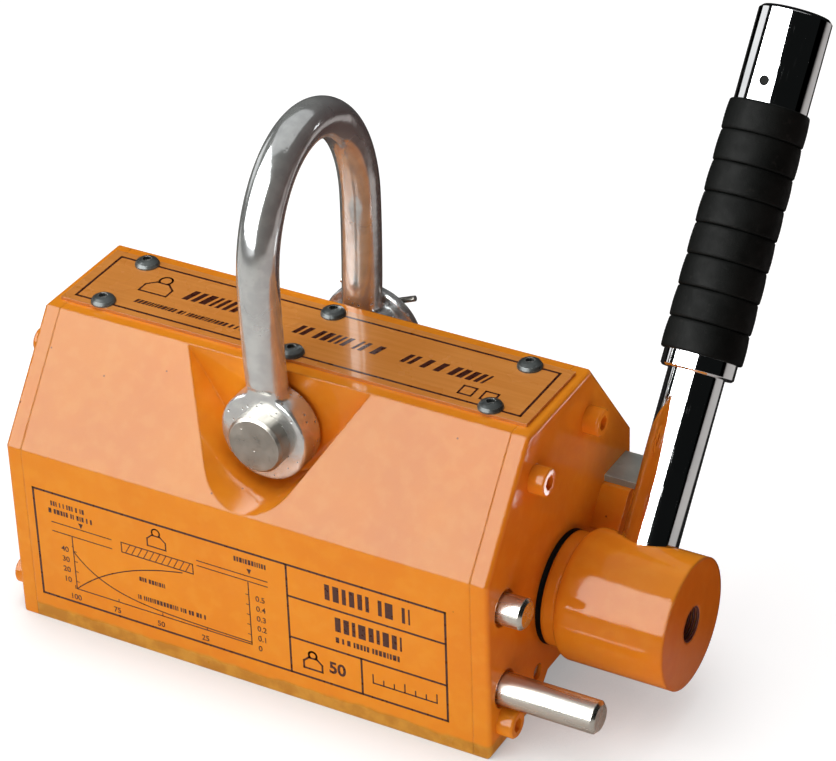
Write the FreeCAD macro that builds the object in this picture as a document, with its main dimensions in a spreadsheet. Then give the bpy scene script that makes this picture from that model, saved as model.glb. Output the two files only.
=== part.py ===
import FreeCAD, Part
import math
import os
import Sketcher

# Hand-operated permanent lifting magnet.
# Frame: origin on the lifting face, under the middle of the two pole shoes; +X towards the handle,
# +Z up; the rotor axis runs along X and the shackle pin along Y.
# Lengths are millimetres and angles are degrees.

doc = FreeCAD.newDocument("LiftingMagnet")
sheet = doc.addObject("Spreadsheet::Sheet", "Sizes")

SIZES = {
    # housing block
    "shoe_length": 151.0,
    "cover_thick": 5.5,
    "block_half": 45.8,
    "block_height": 95.2,
    "shoulder_height": 60.4,
    "top_half": 19.5,
    "vee_half": 16.0,
    "vee_depth": 7.0,
    "vee_flat_half": 9.0,
    "low_gap_half": 5.0,
    "high_gap_half": 8.0,
    "edge_round": 1.4,
    "cut_over": 2.0,
    # rotor
    "axis_height": 31.8,
    "chamber_radius": 22.0,
    "rotor_radius": 21.7,
    "rotor_half": 64.0,
    "flange_thick": 6.0,
    "slab_half": 8.0,
    "magnet_reach": 18.5,
    "magnet_gap": 0.5,
    "drive_journal": 12.0,
    "plain_journal": 10.0,
    "bush_wall": 2.95,
    "running_gap": 0.05,
    "spigot_radius": 21.95,
    "spigot_length": 5.0,
    "plain_journal_length": 7.6,
    "plain_bush_length": 8.0,
    # fixed magnets and spacer above the rotor
    "fixed_magnet_low": 54.4,
    "fixed_magnet_top": 67.0,
    # hub and lever
    "hub_start": 87.0,
    "hub_end": 122.5,
    "hub_radius": 20.0,
    "hub_round": 3.0,
    "hub_seat_radius": 10.5,
    "hub_seat_end": 108.0,
    "hub_bore_end": 109.0,
    "hub_web_end": 113.0,
    "hub_mouth_radius": 5.5,
    "hub_screw_hole": 3.2,
    "hub_screw_radius": 2.5,
    "hub_screw_reach": 12.0,
    "hub_screw_tap_depth": 14.0,
    "hub_screw_head": 5.0,
    "hub_screw_head_thick": 6.0,
    "key_width": 6.0,
    "key_start": 89.0,
    "key_end": 107.0,
    "key_sunk": 3.0,
    "key_cut_over": 1.0,
    "lever_place": 103.5,
    "lever_lean": 37.0,
    "rod_radius": 8.5,
    "rod_foot": 12.0,
    "rod_top": 162.0,
    "rod_bevel": 1.0,
    "spot_face": 19.2,
    "spot_face_gap": 1.2,
    "tube_radius": 11.0,
    "tube_foot": 69.8,
    "tube_top": 178.0,
    "tube_top_bevel": 1.0,
    "tube_foot_bevel": 0.6,
    "plug_length": 6.0,
    "plug_sunk": 0.4,
    "plug_bevel": 0.6,
    "grip_radius": 12.4,
    "grip_foot": 74.8,
    "grip_top": 149.5,
    "grip_groove": 0.9,
    "rib_step": 0.4,
    "rib_rise": 1.0,
    "rib_bevel": 0.3,
    "groove_depth": 0.9,
    "roll_pin_radius": 1.5,
    "roll_pin_sunk": 0.2,
    "roll_pin_bevel": 0.3,
    "roll_pin_place": 155.5,
    "seal_radius": 17.5,
    "seal_thick": 1.8,
    "seal_lip": 0.6,
    # stops and lock
    "stop_offset": 8.64,
    "stop_block_depth": 9.0,
    "stop_block_top": 52.0,
    "stop_block_low": 38.0,
    "stop_block_rear": 42.0,
    "stop_block_foot": 24.0,
    "hub_clear": 18.6,
    "stop_screw_near": 30.0,
    "stop_screw_far": 38.0,
    "stop_screw_sunk": 4.2,
    "stop_plate_thick": 2.2,
    "stop_plate_reach": 21.0,
    "stop_screw_height": 45.0,
    "stop_pin_radius": 5.0,
    "stop_pin_across": -36.5,
    "stop_pin_height": 19.5,
    "stop_pin_start": 60.0,
    "stop_pin_end": 111.5,
    "stop_pin_bevel": 1.0,
    "pin_relief": 0.9,
    "pin_relief_depth": 1.4,
    "lock_pin_radius": 4.75,
    "lock_pin_across": -36.0,
    "lock_pin_height": 47.5,
    "lock_pin_start": 48.0,
    "lock_pin_end": 88.5,
    "lock_pin_bevel": 1.0,
    "lock_foot_bevel": 0.5,
    "lock_ring_place": 51.0,
    "lock_ring_thick": 1.2,
    "lock_ring_groove": 0.8,
    "o_ring_start": 77.0,
    "o_ring_end": 79.0,
    "o_ring_groove": 1.0,
    "o_ring_squeeze": 0.03,
    "lock_ring_radius": 6.3,
    "lock_chamber_radius": 6.5,
    "lock_chamber_start": 45.0,
    # shackle
    "pin_height": 77.5,
    "eye_radius": 14.25,
    "shackle_side": 1.4,
    "eye_inner": 21.9,
    "eye_outer": 31.4,
    "spot_radius": 16.9,
    "scallop_radius": 17.0,
    "scallop_lean": 31.4,
    "shackle_pin_radius": 7.0,
    "shackle_head_radius": 9.0,
    "shackle_head_thick": 5.0,
    "shackle_pin_end": 40.2,
    "shackle_bush_radius": 9.0,
    "shackle_bush_start": 3.0,
    "pin_end_bevel": 1.0,
    "washer_radius": 16.5,
    "washer_thick": 3.2,
    "split_pin_radius": 1.5,
    "split_pin_out": 1.5,
    "split_eye_radius": 2.4,
    "split_eye_bar": 1.2,
    "split_eye_drop": 4.0,
    "prong_rise": 1.0,
    "prong_radius": 0.93,
    "prong_length": 13.7,
    "prong_lean": 68.0,
    "split_pin_place": 37.0,
    "bow_radius": 6.1,
    "bow_half": 28.8,
    "bow_shoulder": 127.0,
    "bow_top": 170.3,
    "bow_foot_half": 25.6,
    "spot_depth": 10.0,
    "head_bevel": 0.8,
    "washer_bevel": 0.6,
    # screws and dowels
    "m5_radius": 2.5,
    "m5_head": 4.25,
    "m5_head_thick": 5.0,
    "m5_hole": 2.75,
    "m5_reach": 10.0,
    "m4_radius": 2.0,
    "m4_head": 3.5,
    "m4_head_thick": 4.0,
    "m4_reach": 7.0,
    "m4_tap_depth": 8.0,
    "head_gap": 0.1,
    "screw_bevel": 0.5,
    "socket_depth": 2.6,
    "m5_socket": 2.3,
    "m4_socket": 1.7,
    "hub_socket": 2.9,
    "high_screw_across": 17.0,
    "high_screw_height": 80.0,
    "low_screw_across": 38.0,
    "low_screw_height": 9.0,
    "screw_depth": 14.0,
    "dowel_across": 16.0,
    "dowel_height": 11.5,
    "dowel_depth": 7.5,
    "dowel_reach": 7.0,
    "dowel_sunk": 0.8,
    "dowel_bevel": 0.4,
    "rotor_screw_out": 14.0,
    "rotor_screw_side": 9.0,
    "rotor_screw_sunk": 3.2,
    "rotor_head_thick": 3.0,
    "rotor_screw_reach": 10.0,
    # name plate
    "plate_half_length": 78.0,
    "plate_half_width": 15.2,
    "plate_thick": 1.0,
    "plate_screw_side": 65.0,
    "plate_screw_across": 12.0,
    "plate_screw_head": 3.8,
    "plate_screw_length": 6.0,
    "plate_tap_depth": 6.5,
    "dome_rim": 0.5,
    "dome_middle": 1.3,
    "dome_upper": 1.9,
    "dome_top": 2.2,
    "dome_socket": 1.45,
    "dome_socket_depth": 1.4,
}

for row, (word, number) in enumerate(SIZES.items(), start=1):
    sheet.set("A%d" % row, word)
    sheet.set("B%d" % row, str(number))
    sheet.setAlias("B%d" % row, word)
doc.recompute()

UP = FreeCAD.Vector(0, 0, 1)
ALONG = FreeCAD.Vector(1, 0, 0)
ACROSS = FreeCAD.Vector(0, 1, 0)
NO_TURN = FreeCAD.Rotation()
HALF_TURN = FreeCAD.Rotation(UP, 180)
GRIP_RIBS = 8
nodes = []


def bound(text):
    """Turn a formula in the sheet's words into a FreeCAD expression."""
    words = sorted(SIZES, key=len, reverse=True)
    marked = text
    for number, word in enumerate(words):
        marked = marked.replace(word, "@%d@" % number)
    for number, word in enumerate(words):
        marked = marked.replace("@%d@" % number, "Sizes.%s" % word)
    return marked


def bind(thing, **formulas):
    """Bind properties of an object to formulas."""
    for name, text in formulas.items():
        thing.setExpression(name.replace("__", "."), bound(text))


def place(thing, across="0", height="0", along="0", turn=NO_TURN):
    """Put an object at a place given by formulas, after turning it."""
    thing.Placement = FreeCAD.Placement(FreeCAD.Vector(), turn)
    bind(thing, Placement__Base__x=along, Placement__Base__y=across, Placement__Base__z=height)


def keep(thing, label):
    """Mark an object as a sub-part with its own name."""
    thing.Label = label
    nodes.append(thing)
    return thing


def new_body(name):
    return doc.addObject("PartDesign::Body", name)


def sketch_on(body, role, offset="0"):
    """A sketch on one of the body's own origin planes, moved along its normal."""
    plane = next(item for item in body.Origin.OriginFeatures if item.Role == role)
    sketch = body.newObject("Sketcher::SketchObject", body.Name + "Sketch")
    sketch.AttachmentSupport = [(plane, "")]
    sketch.MapMode = "FlatFace"
    bind(sketch, AttachmentOffset__Base__z=offset)
    return sketch


def pin_point(sketch, shape, end, across, up):
    """Hold one point of a sketch at a place given by two formulas."""
    for kind, text in (("DistanceX", across), ("DistanceY", up)):
        index = sketch.addConstraint(Sketcher.Constraint(kind, -1, 1, shape, end, 1.0))
        sketch.setExpression("Constraints[%d]" % index, bound(text))


def outline(sketch, corners):
    """A closed outline of straight lines between corners given by formulas."""
    count = len(corners)
    first = sketch.GeometryCount
    rough = []
    for step in range(count):
        angle = 2 * math.pi * step / count
        rough.append(FreeCAD.Vector(math.cos(angle), math.sin(angle), 0))
    for step in range(count):
        sketch.addGeometry(Part.LineSegment(rough[step], rough[(step + 1) % count]))
    for step in range(count):
        following = first + (step + 1) % count
        sketch.addConstraint(Sketcher.Constraint("Coincident", first + step, 2, following, 1))
    for step, (across, up) in enumerate(corners):
        pin_point(sketch, first + step, 1, across, up)


def ring(sketch, across, up, radius):
    """A circle whose centre and radius are formulas."""
    shape = sketch.addGeometry(Part.Circle(FreeCAD.Vector(1, 1, 0), UP, 1.0))
    pin_point(sketch, shape, 3, across, up)
    index = sketch.addConstraint(Sketcher.Constraint("Radius", shape, 1.0))
    sketch.setExpression("Constraints[%d]" % index, bound(radius))


def hexagon(sketch, radius):
    """A hexagon round the sketch's origin."""
    corners = []
    for step in range(6):
        angle = 60 * step
        corners.append((
            "%s * cos(%d deg)" % (radius, angle),
            "%s * sin(%d deg)" % (radius, angle),
        ))
    outline(sketch, corners)


def pad(body, sketch, length, both_ways=False, backwards=False):
    feature = body.newObject("PartDesign::Pad", body.Name + "Pad")
    feature.Profile = sketch
    feature.Midplane = both_ways
    feature.Reversed = backwards
    bind(feature, Length=length)
    return feature


def pocket(body, sketch, length=None, backwards=False):
    """Cut a sketch out of the body, right through when no depth is given; it must remove material."""
    doc.recompute()
    before = body.Shape.Volume
    feature = body.newObject("PartDesign::Pocket", body.Name + "Pocket")
    feature.Profile = sketch
    feature.Reversed = backwards
    if length is None:
        feature.Type = "ThroughAll"
        feature.Midplane = True
    else:
        bind(feature, Length=length)
    doc.recompute()
    if body.Shape.Volume > before - 0.01:
        raise RuntimeError("pocket cuts nothing in " + body.Name)
    return feature


def edges_on(shape, along):
    """Names of the edges that lie in the plane X = along."""
    names = []
    for number, edge in enumerate(shape.Edges, start=1):
        if all(abs(vertex.X - along) < 0.001 for vertex in edge.Vertexes):
            names.append("Edge%d" % number)
    return names


def round_edges(body, base, names, radius):
    feature = body.newObject("PartDesign::Fillet", body.Name + "Fillet")
    feature.Base = (base, names)
    bind(feature, Radius=radius)
    return feature


def turned(name, corners):
    """A round piece about the X axis; its corners are (place along the axis, radius)."""
    body = new_body(name)
    sketch = sketch_on(body, "XZ_Plane")
    outline(sketch, corners)
    feature = body.newObject("PartDesign::Revolution", name + "Turn")
    feature.Profile = sketch
    feature.ReferenceAxis = (sketch, ["H_Axis"])
    feature.Angle = 360
    return body


def plain_ring(name, start, end, inner, outer):
    return turned(name, [(start, inner), (end, inner), (end, outer), (start, outer)])


def box(name, length, width, tall, along, across, height):
    """A block; the three places are its lowest corner."""
    thing = doc.addObject("Part::Box", name)
    bind(thing, Length=length, Width=width, Height=tall)
    place(thing, across, height, along)
    return thing


def rod(name, radius, length, turn, along="0", across="0", height="0"):
    thing = doc.addObject("Part::Cylinder", name)
    bind(thing, Radius=radius, Height=length)
    place(thing, across, height, along, turn)
    return thing


def cut(name, base, *tools):
    """Take several tools away from a base."""
    result = base
    for number, tool in enumerate(tools):
        step = doc.addObject("Part::Cut", "%sCut%d" % (name, number))
        step.Base = result
        step.Tool = tool
        result = step
    return result


def common(name, base, tool):
    thing = doc.addObject("Part::Common", name)
    thing.Base = base
    thing.Tool = tool
    return thing


def fuse(name, *pieces):
    thing = doc.addObject("Part::MultiFuse", name)
    thing.Shapes = list(pieces)
    thing.Refine = True
    return thing


def group(label, pieces):
    """Separate solids that share one node."""
    thing = doc.addObject("Part::Compound", label + "_group")
    thing.Links = list(pieces)
    return keep(thing, label)


# ---------------------------------------------------------------- housing

SHOE_HALF = "shoe_length / 2"
COVER_FACE = "(shoe_length / 2 + cover_thick)"
# height above the axis at which the stop plane meets a given level
STOP_PLANE = "((stop_offset + (%s - axis_height) * sin(lever_lean * 1 deg)) / cos(lever_lean * 1 deg))"


def end_holes(body, spots, radius, depth, sides=(1, -1)):
    """Blind holes along X from the ends of a shoe; the spots are (across, height)."""
    for side in sides:
        offset = SHOE_HALF if side > 0 else "-" + SHOE_HALF
        sketch = sketch_on(body, "YZ_Plane", offset)
        for across, height in spots:
            ring(sketch, across, height, radius)
        pocket(body, sketch, depth, backwards=side < 0)


def scallop(body):
    """Clearance for the shackle eye: a round floor with two straight sides that open upwards."""
    sketch = sketch_on(body, "XZ_Plane", "top_half")
    ring(sketch, "0", "pin_height", "scallop_radius")
    pocket(body, sketch, "block_half", backwards=True)
    side = "scallop_radius * cos(scallop_lean * 1 deg)"
    low = "pin_height - scallop_radius * sin(scallop_lean * 1 deg)"
    high = "(block_height + cut_over)"
    spread = "(%s + (%s - (%s)) * tan(scallop_lean * 1 deg))" % (side, high, low)
    sketch = sketch_on(body, "XZ_Plane", "top_half")
    outline(sketch, [(side, low), (spread, high), ("-" + spread, high), ("-(%s)" % side, low)])
    pocket(body, sketch, "block_half", backwards=True)


def pole_shoe(name):
    """One pole shoe on the -Y side, with the chamber, the scallop and the screw holes."""
    body = new_body(name)
    sketch = sketch_on(body, "YZ_Plane")
    outline(sketch, [
        ("-low_gap_half", "vee_depth"),
        ("-vee_flat_half", "vee_depth"),
        ("-vee_half", "0"),
        ("-block_half", "0"),
        ("-block_half", "shoulder_height"),
        ("-top_half", "block_height"),
        ("-high_gap_half", "block_height"),
        ("-high_gap_half", "axis_height"),
        ("-low_gap_half", "axis_height"),
    ])
    pad(body, sketch, "shoe_length", both_ways=True)
    sketch = sketch_on(body, "YZ_Plane")
    ring(sketch, "0", "axis_height", "chamber_radius")
    pocket(body, sketch)
    scallop(body)
    sketch = sketch_on(body, "XZ_Plane")
    ring(sketch, "0", "pin_height", "shackle_bush_radius")
    pocket(body, sketch)
    screws = [
        ("-high_screw_across", "high_screw_height"),
        ("-low_screw_across", "low_screw_height"),
    ]
    end_holes(body, screws, "m5_radius", "screw_depth")
    end_holes(body, [("-dowel_across", "dowel_height")], "m5_radius", "dowel_depth")
    sketch = sketch_on(body, "XY_Plane", "block_height")
    for along in ("-plate_screw_side", "0", "plate_screw_side"):
        ring(sketch, along, "-plate_screw_across", "m4_radius")
    pocket(body, sketch, "plate_tap_depth")
    return body


def front_shoe():
    """The front shoe also holds the stop pin and the lock pin."""
    body = keep(pole_shoe("FrontShoe"), "pole_shoe_front")
    stop = [("stop_pin_across", "stop_pin_height")]
    end_holes(body, stop, "stop_pin_radius", SHOE_HALF + " - stop_pin_start", sides=(1,))
    lock = [("lock_pin_across", "lock_pin_height")]
    end_holes(body, lock, "lock_chamber_radius", SHOE_HALF + " - lock_chamber_start", sides=(1,))


def stop_screw_spots(mirror):
    """Places of the two stop-block screws, as drawn on the cover or on the turned rear shoe."""
    sign = "-" if mirror else ""
    return [(sign + "stop_screw_near", "stop_screw_height"), (sign + "stop_screw_far", "stop_screw_height")]


def rear_shoe():
    """The rear shoe is the same forging turned half round; it takes the stop-block screws."""
    body = keep(pole_shoe("RearShoe"), "pole_shoe_rear")
    end_holes(body, stop_screw_spots(True), "m4_radius", "m4_tap_depth", sides=(-1,))
    place(body, turn=HALF_TURN)


def spacer_bars():
    """Non-magnetic bars that keep the two shoes apart above and below the rotor."""
    body = keep(new_body("TopSpacer"), "top_spacer_bar")
    sketch = sketch_on(body, "YZ_Plane")
    outline(sketch, [
        ("-high_gap_half", "fixed_magnet_top"),
        ("high_gap_half", "fixed_magnet_top"),
        ("high_gap_half", "block_height"),
        ("-high_gap_half", "block_height"),
    ])
    pad(body, sketch, "shoe_length", both_ways=True)
    sketch = sketch_on(body, "XZ_Plane")
    ring(sketch, "0", "pin_height", "shackle_bush_radius")
    pocket(body, sketch)
    body = keep(new_body("BottomSpacer"), "bottom_spacer_bar")
    sketch = sketch_on(body, "YZ_Plane")
    outline(sketch, [
        ("-low_gap_half", "vee_depth"),
        ("low_gap_half", "vee_depth"),
        ("low_gap_half", "vee_depth * 2"),
        ("-low_gap_half", "vee_depth * 2"),
    ])
    pad(body, sketch, "shoe_length", both_ways=True)
    sketch = sketch_on(body, "YZ_Plane")
    ring(sketch, "0", "axis_height", "chamber_radius")
    pocket(body, sketch)


def magnet_row(label, half, low_across, width, low, tall, turn=NO_TURN, centre="0"):
    """Four equal blocks end to end, with small gaps."""
    length = "((%s * 2 - magnet_gap * 3) / 4)" % half
    blocks = []
    for number in range(4):
        along = "-(%s) + %d * (%s + magnet_gap)" % (half, number, length)
        block = box("%s_%d" % (label, number), length, width, tall, along, low_across, low)
        blocks.append(block)
    thing = group(label, blocks)
    place(thing, height=centre, turn=turn)


def end_cover(name, drive):
    """One end cover with its outer face towards +X; the drive side lets the shaft and pins out."""
    body = new_body(name)
    sketch = sketch_on(body, "YZ_Plane", SHOE_HALF)
    right = [
        ("vee_flat_half", "vee_depth"),
        ("vee_half", "0"),
        ("block_half", "0"),
        ("block_half", "shoulder_height"),
        ("top_half", "block_height"),
    ]
    left = [("-" + across, up) for across, up in reversed(right)]
    outline(sketch, right + left)
    plate = pad(body, sketch, "cover_thick")
    doc.recompute()
    outer = edges_on(plate.Shape, SIZES["shoe_length"] / 2 + SIZES["cover_thick"])
    round_edges(body, plate, outer, "edge_round")
    sketch = sketch_on(body, "YZ_Plane", SHOE_HALF)
    ring(sketch, "0", "axis_height", "spigot_radius")
    pad(body, sketch, "spigot_length", backwards=True)
    cover_holes(body, drive)
    return body


def cover_holes(body, drive):
    """Holes of an end cover: screws, dowels, the rotor bush and, on the drive side, the pins."""
    sketch = sketch_on(body, "YZ_Plane")
    for side in ("", "-"):
        ring(sketch, side + "high_screw_across", "high_screw_height", "m5_hole")
        ring(sketch, side + "low_screw_across", "low_screw_height", "m5_hole")
        ring(sketch, side + "dowel_across", "dowel_height", "m5_radius")
    if drive:
        ring(sketch, "0", "axis_height", "drive_journal + running_gap + bush_wall")
        ring(sketch, "stop_pin_across", "stop_pin_height", "stop_pin_radius")
        ring(sketch, "lock_pin_across", "lock_pin_height", "lock_pin_radius + running_gap")
        for across, height in stop_screw_spots(False):
            ring(sketch, across, height, "m4_radius")
    pocket(body, sketch)
    if drive:
        sketch = sketch_on(body, "YZ_Plane", COVER_FACE)
        ring(sketch, "stop_pin_across", "stop_pin_height", "stop_pin_radius + pin_relief")
        ring(sketch, "lock_pin_across", "lock_pin_height", "lock_pin_radius + pin_relief")
        pocket(body, sketch, "pin_relief_depth")
    else:
        sketch = sketch_on(body, "YZ_Plane", SHOE_HALF + " - spigot_length")
        ring(sketch, "0", "axis_height", "plain_journal + running_gap + bush_wall")
        pocket(body, sketch, "plain_bush_length", backwards=True)


def covers():
    keep(end_cover("DriveCover", True), "end_cover_drive")
    plain = keep(end_cover("PlainCover", False), "end_cover_plain")
    place(plain, turn=HALF_TURN)


def socket_screw(name, head_start, head_thick, head, shank_start, shank, socket):
    """A socket-head screw pointing to -X, with its head between two places on the X axis."""
    top = "(%s + %s)" % (head_start, head_thick)
    body = turned(name, [
        (shank_start, "0"),
        (shank_start, shank),
        (head_start, shank),
        (head_start, head),
        (top + " - screw_bevel", head),
        (top, head + " - screw_bevel"),
        (top, "0"),
    ])
    sketch = sketch_on(body, "YZ_Plane", top)
    hexagon(sketch, socket)
    pocket(body, sketch, "socket_depth")
    return body


def cover_screws(label, turn):
    """Four socket screws that hold one cover."""
    screws = []
    for side in ("", "-"):
        for across, height in (("high_screw_across", "high_screw_height"),
                               ("low_screw_across", "low_screw_height")):
            screw = socket_screw(label + "_screw", COVER_FACE, "m5_head_thick", "m5_head",
                                 SHOE_HALF + " - m5_reach", "m5_radius", "m5_socket")
            place(screw, side + across, height)
            screws.append(screw)
    thing = group(label, screws)
    place(thing, turn=turn)


def dowels():
    """Two dowels through each cover, driven just below its face."""
    pieces = []
    for end in (1, -1):
        for side in ("", "-"):
            piece = plain_pin("dowel", SHOE_HALF + " - dowel_reach", COVER_FACE + " - dowel_sunk",
                              "m5_radius", "dowel_bevel")
            place(piece, side + "dowel_across", "dowel_height", turn=NO_TURN if end > 0 else HALF_TURN)
            pieces.append(piece)
    group("cover_dowels", pieces)


def plain_pin(name, start, end, radius, chamfer):
    """A straight pin along X with a chamfer at both ends."""
    return turned(name, [
        (start, "0"),
        (start, "%s - %s" % (radius, chamfer)),
        ("%s + %s" % (start, chamfer), radius),
        ("%s - %s" % (end, chamfer), radius),
        (end, "%s - %s" % (radius, chamfer)),
        (end, "0"),
    ])


def rotor_bushes():
    """Bronze bushes pressed into the covers."""
    drive = plain_ring("DriveBush", SHOE_HALF + " - spigot_length", COVER_FACE,
                       "drive_journal + running_gap", "drive_journal + running_gap + bush_wall")
    place(keep(drive, "bush_drive"), height="axis_height")
    inner = SHOE_HALF + " - spigot_length"
    plain = plain_ring("PlainBush", "-(%s + plain_bush_length)" % inner, "-(%s)" % inner,
                       "plain_journal + running_gap", "plain_journal + running_gap + bush_wall")
    place(keep(plain, "bush_plain"), height="axis_height")


def shackle_bushes():
    """Two bushes for the shackle pin, one in each shoe."""
    pieces = []
    for angle in (90, -90):
        piece = plain_ring("shackle_bush", "shackle_bush_start", "top_half",
                           "shackle_pin_radius + running_gap", "shackle_bush_radius")
        place(piece, height="pin_height", turn=FreeCAD.Rotation(UP, angle))
        pieces.append(piece)
    group("shackle_bushes", pieces)


def stop_block():
    """Painted block behind the lever; its front face is parallel to the lever at rest."""
    body = keep(new_body("StopBlock"), "stop_block")
    sketch = sketch_on(body, "YZ_Plane", COVER_FACE)
    lean = "lever_lean * 1 deg"
    low_across = "hub_clear * sin(%s) + stop_offset * cos(%s)" % (lean, lean)
    low_height = "axis_height + hub_clear * cos(%s) - stop_offset * sin(%s)" % (lean, lean)
    outline(sketch, [
        (low_across, low_height),
        ("stop_block_foot", "stop_block_low"),
        ("stop_block_rear", "stop_block_low"),
        ("stop_block_rear", "stop_block_top"),
        (STOP_PLANE % "stop_block_top", "stop_block_top"),
    ])
    pad(body, sketch, "stop_block_depth")
    sketch = sketch_on(body, "YZ_Plane", COVER_FACE + " + stop_block_depth")
    for across, height in stop_screw_spots(False):
        ring(sketch, across, height, "m4_head + head_gap")
    pocket(body, sketch, "stop_screw_sunk")
    sketch = sketch_on(body, "YZ_Plane", COVER_FACE + " + stop_block_depth")
    for across, height in stop_screw_spots(False):
        ring(sketch, across, height, "m4_radius")
    pocket(body, sketch, "stop_block_depth")


def stop_block_screws():
    screws = []
    for across, height in stop_screw_spots(False):
        screw = socket_screw("stop_screw", COVER_FACE + " + stop_block_depth - stop_screw_sunk",
                             "m4_head_thick", "m4_head", SHOE_HALF + " - m4_reach", "m4_radius",
                             "m4_socket")
        place(screw, across, height)
        screws.append(screw)
    group("stop_block_screws", screws)


def stop_plate():
    """Bare steel plate on the stop block; the lever rests on its front edge."""
    level = "(stop_block_top + stop_plate_thick)"
    front = STOP_PLANE % level
    thing = box("StopPlate", "stop_plate_reach", "stop_block_rear - %s" % front,
                "stop_plate_thick", COVER_FACE, front, "stop_block_top")
    keep(thing, "stop_plate")


def stop_pin():
    pin = plain_pin("StopPin", "stop_pin_start", "stop_pin_end", "stop_pin_radius", "stop_pin_bevel")
    place(keep(pin, "stop_pin"), "stop_pin_across", "stop_pin_height")


def name_plate():
    """Thin plate on the top face, with a hole for each screw."""
    body = keep(new_body("NamePlate"), "name_plate")
    sketch = sketch_on(body, "XY_Plane", "block_height")
    length = "plate_half_length"
    width = "plate_half_width"
    outline(sketch, [
        ("-" + length, "-" + width),
        (length, "-" + width),
        (length, width),
        ("-" + length, width),
    ])
    pad(body, sketch, "plate_thick")
    sketch = sketch_on(body, "XY_Plane", "block_height")
    for along in ("-plate_screw_side", "0", "plate_screw_side"):
        for side in ("", "-"):
            ring(sketch, along, side + "plate_screw_across", "m4_radius + head_gap")
    pocket(body, sketch)


def button_screw(name):
    """A domed socket screw pointing to -X, with the underside of its head at X = 0."""
    body = turned(name, [
        ("-plate_screw_length", "0"),
        ("-plate_screw_length", "m4_radius"),
        ("0", "m4_radius"),
        ("0", "plate_screw_head"),
        ("dome_rim", "plate_screw_head"),
        ("dome_middle", "plate_screw_head * 7 / 8"),
        ("dome_upper", "plate_screw_head * 5 / 8"),
        ("dome_top", "plate_screw_head * 2 / 5"),
        ("dome_top", "0"),
    ])
    sketch = sketch_on(body, "YZ_Plane", "dome_top")
    hexagon(sketch, "dome_socket")
    pocket(body, sketch, "dome_socket_depth")
    return body


def name_plate_screws():
    screws = []
    upright = FreeCAD.Rotation(ACROSS, -90)
    for along in ("-plate_screw_side", "0", "plate_screw_side"):
        for side in ("", "-"):
            screw = button_screw("plate_screw")
            place(screw, side + "plate_screw_across", "block_height + plate_thick", along, upright)
            screws.append(screw)
    group("name_plate_screws", screws)


# ---------------------------------------------------------------- rotor, hub and lever

# At rest the lever leans towards +Y, and the rotor's pole line leans with it.
LEAN = FreeCAD.Rotation(ALONG, -SIZES["lever_lean"])
LEVER = LEAN.multiply(FreeCAD.Rotation(ACROSS, -90))


def on_axis(thing, turn=LEAN):
    """Put a piece that is drawn upright about the X axis onto the rotor axis."""
    place(thing, height="axis_height", turn=turn)
    return thing


def rotor_screw_spots():
    """Places of the rotor screws about the axis: two in each pole segment."""
    spots = []
    for out in ("", "-"):
        for side in ("", "-"):
            spots.append((side + "rotor_screw_side", out + "rotor_screw_out"))
    return spots


def rotor_poles():
    """Two steel segments of the rotor, above and below the slab of magnets."""
    for label, low in (("rotor_pole_upper", "slab_half"), ("rotor_pole_lower", "-rotor_radius")):
        body = new_body(label + "_body")
        sketch = sketch_on(body, "YZ_Plane")
        ring(sketch, "0", "0", "rotor_radius")
        pad(body, sketch, "rotor_half * 2", both_ways=True)
        keep_box = box(label + "_slice", "rotor_half * 2", "rotor_radius * 2",
                       "rotor_radius - slab_half", "-rotor_half", "-rotor_radius", low)
        segment = common(label + "_segment", body, keep_box)
        drills = []
        for across, height in rotor_screw_spots():
            if height.startswith("-") != low.startswith("-"):
                continue
            drill = rod(label + "_drill", "m4_radius", "rotor_half * 2", FreeCAD.Rotation(ACROSS, 90),
                        "-rotor_half", across, height)
            drills.append(drill)
        on_axis(keep(cut(label, segment, *drills), label))


def rotor_spacers():
    """Brass strips that close the two sides of the magnet slab."""
    pieces = []
    for number, side in enumerate(("magnet_reach", "-rotor_radius")):
        core = rod("spacer_core%d" % number, "rotor_radius", "rotor_half * 2",
                   FreeCAD.Rotation(ACROSS, 90), "-rotor_half")
        strip = box("spacer_box%d" % number, "rotor_half * 2", "rotor_radius - magnet_reach",
                    "slab_half * 2", "-rotor_half", side, "-slab_half")
        pieces.append(common("rotor_spacer%d" % number, core, strip))
    on_axis(group("rotor_spacers", pieces))


def flange_holes(body, offset, side):
    """Screw holes of a rotor flange; side is 1 for the +X flange and -1 for the other."""
    sketch = sketch_on(body, "YZ_Plane", offset)
    for across, height in rotor_screw_spots():
        ring(sketch, across, height, "m4_head")
    pocket(body, sketch, "rotor_screw_sunk", backwards=side < 0)
    sketch = sketch_on(body, "YZ_Plane", offset)
    for across, height in rotor_screw_spots():
        ring(sketch, across, height, "m4_radius")
    pocket(body, sketch, "flange_thick", backwards=side < 0)


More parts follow.
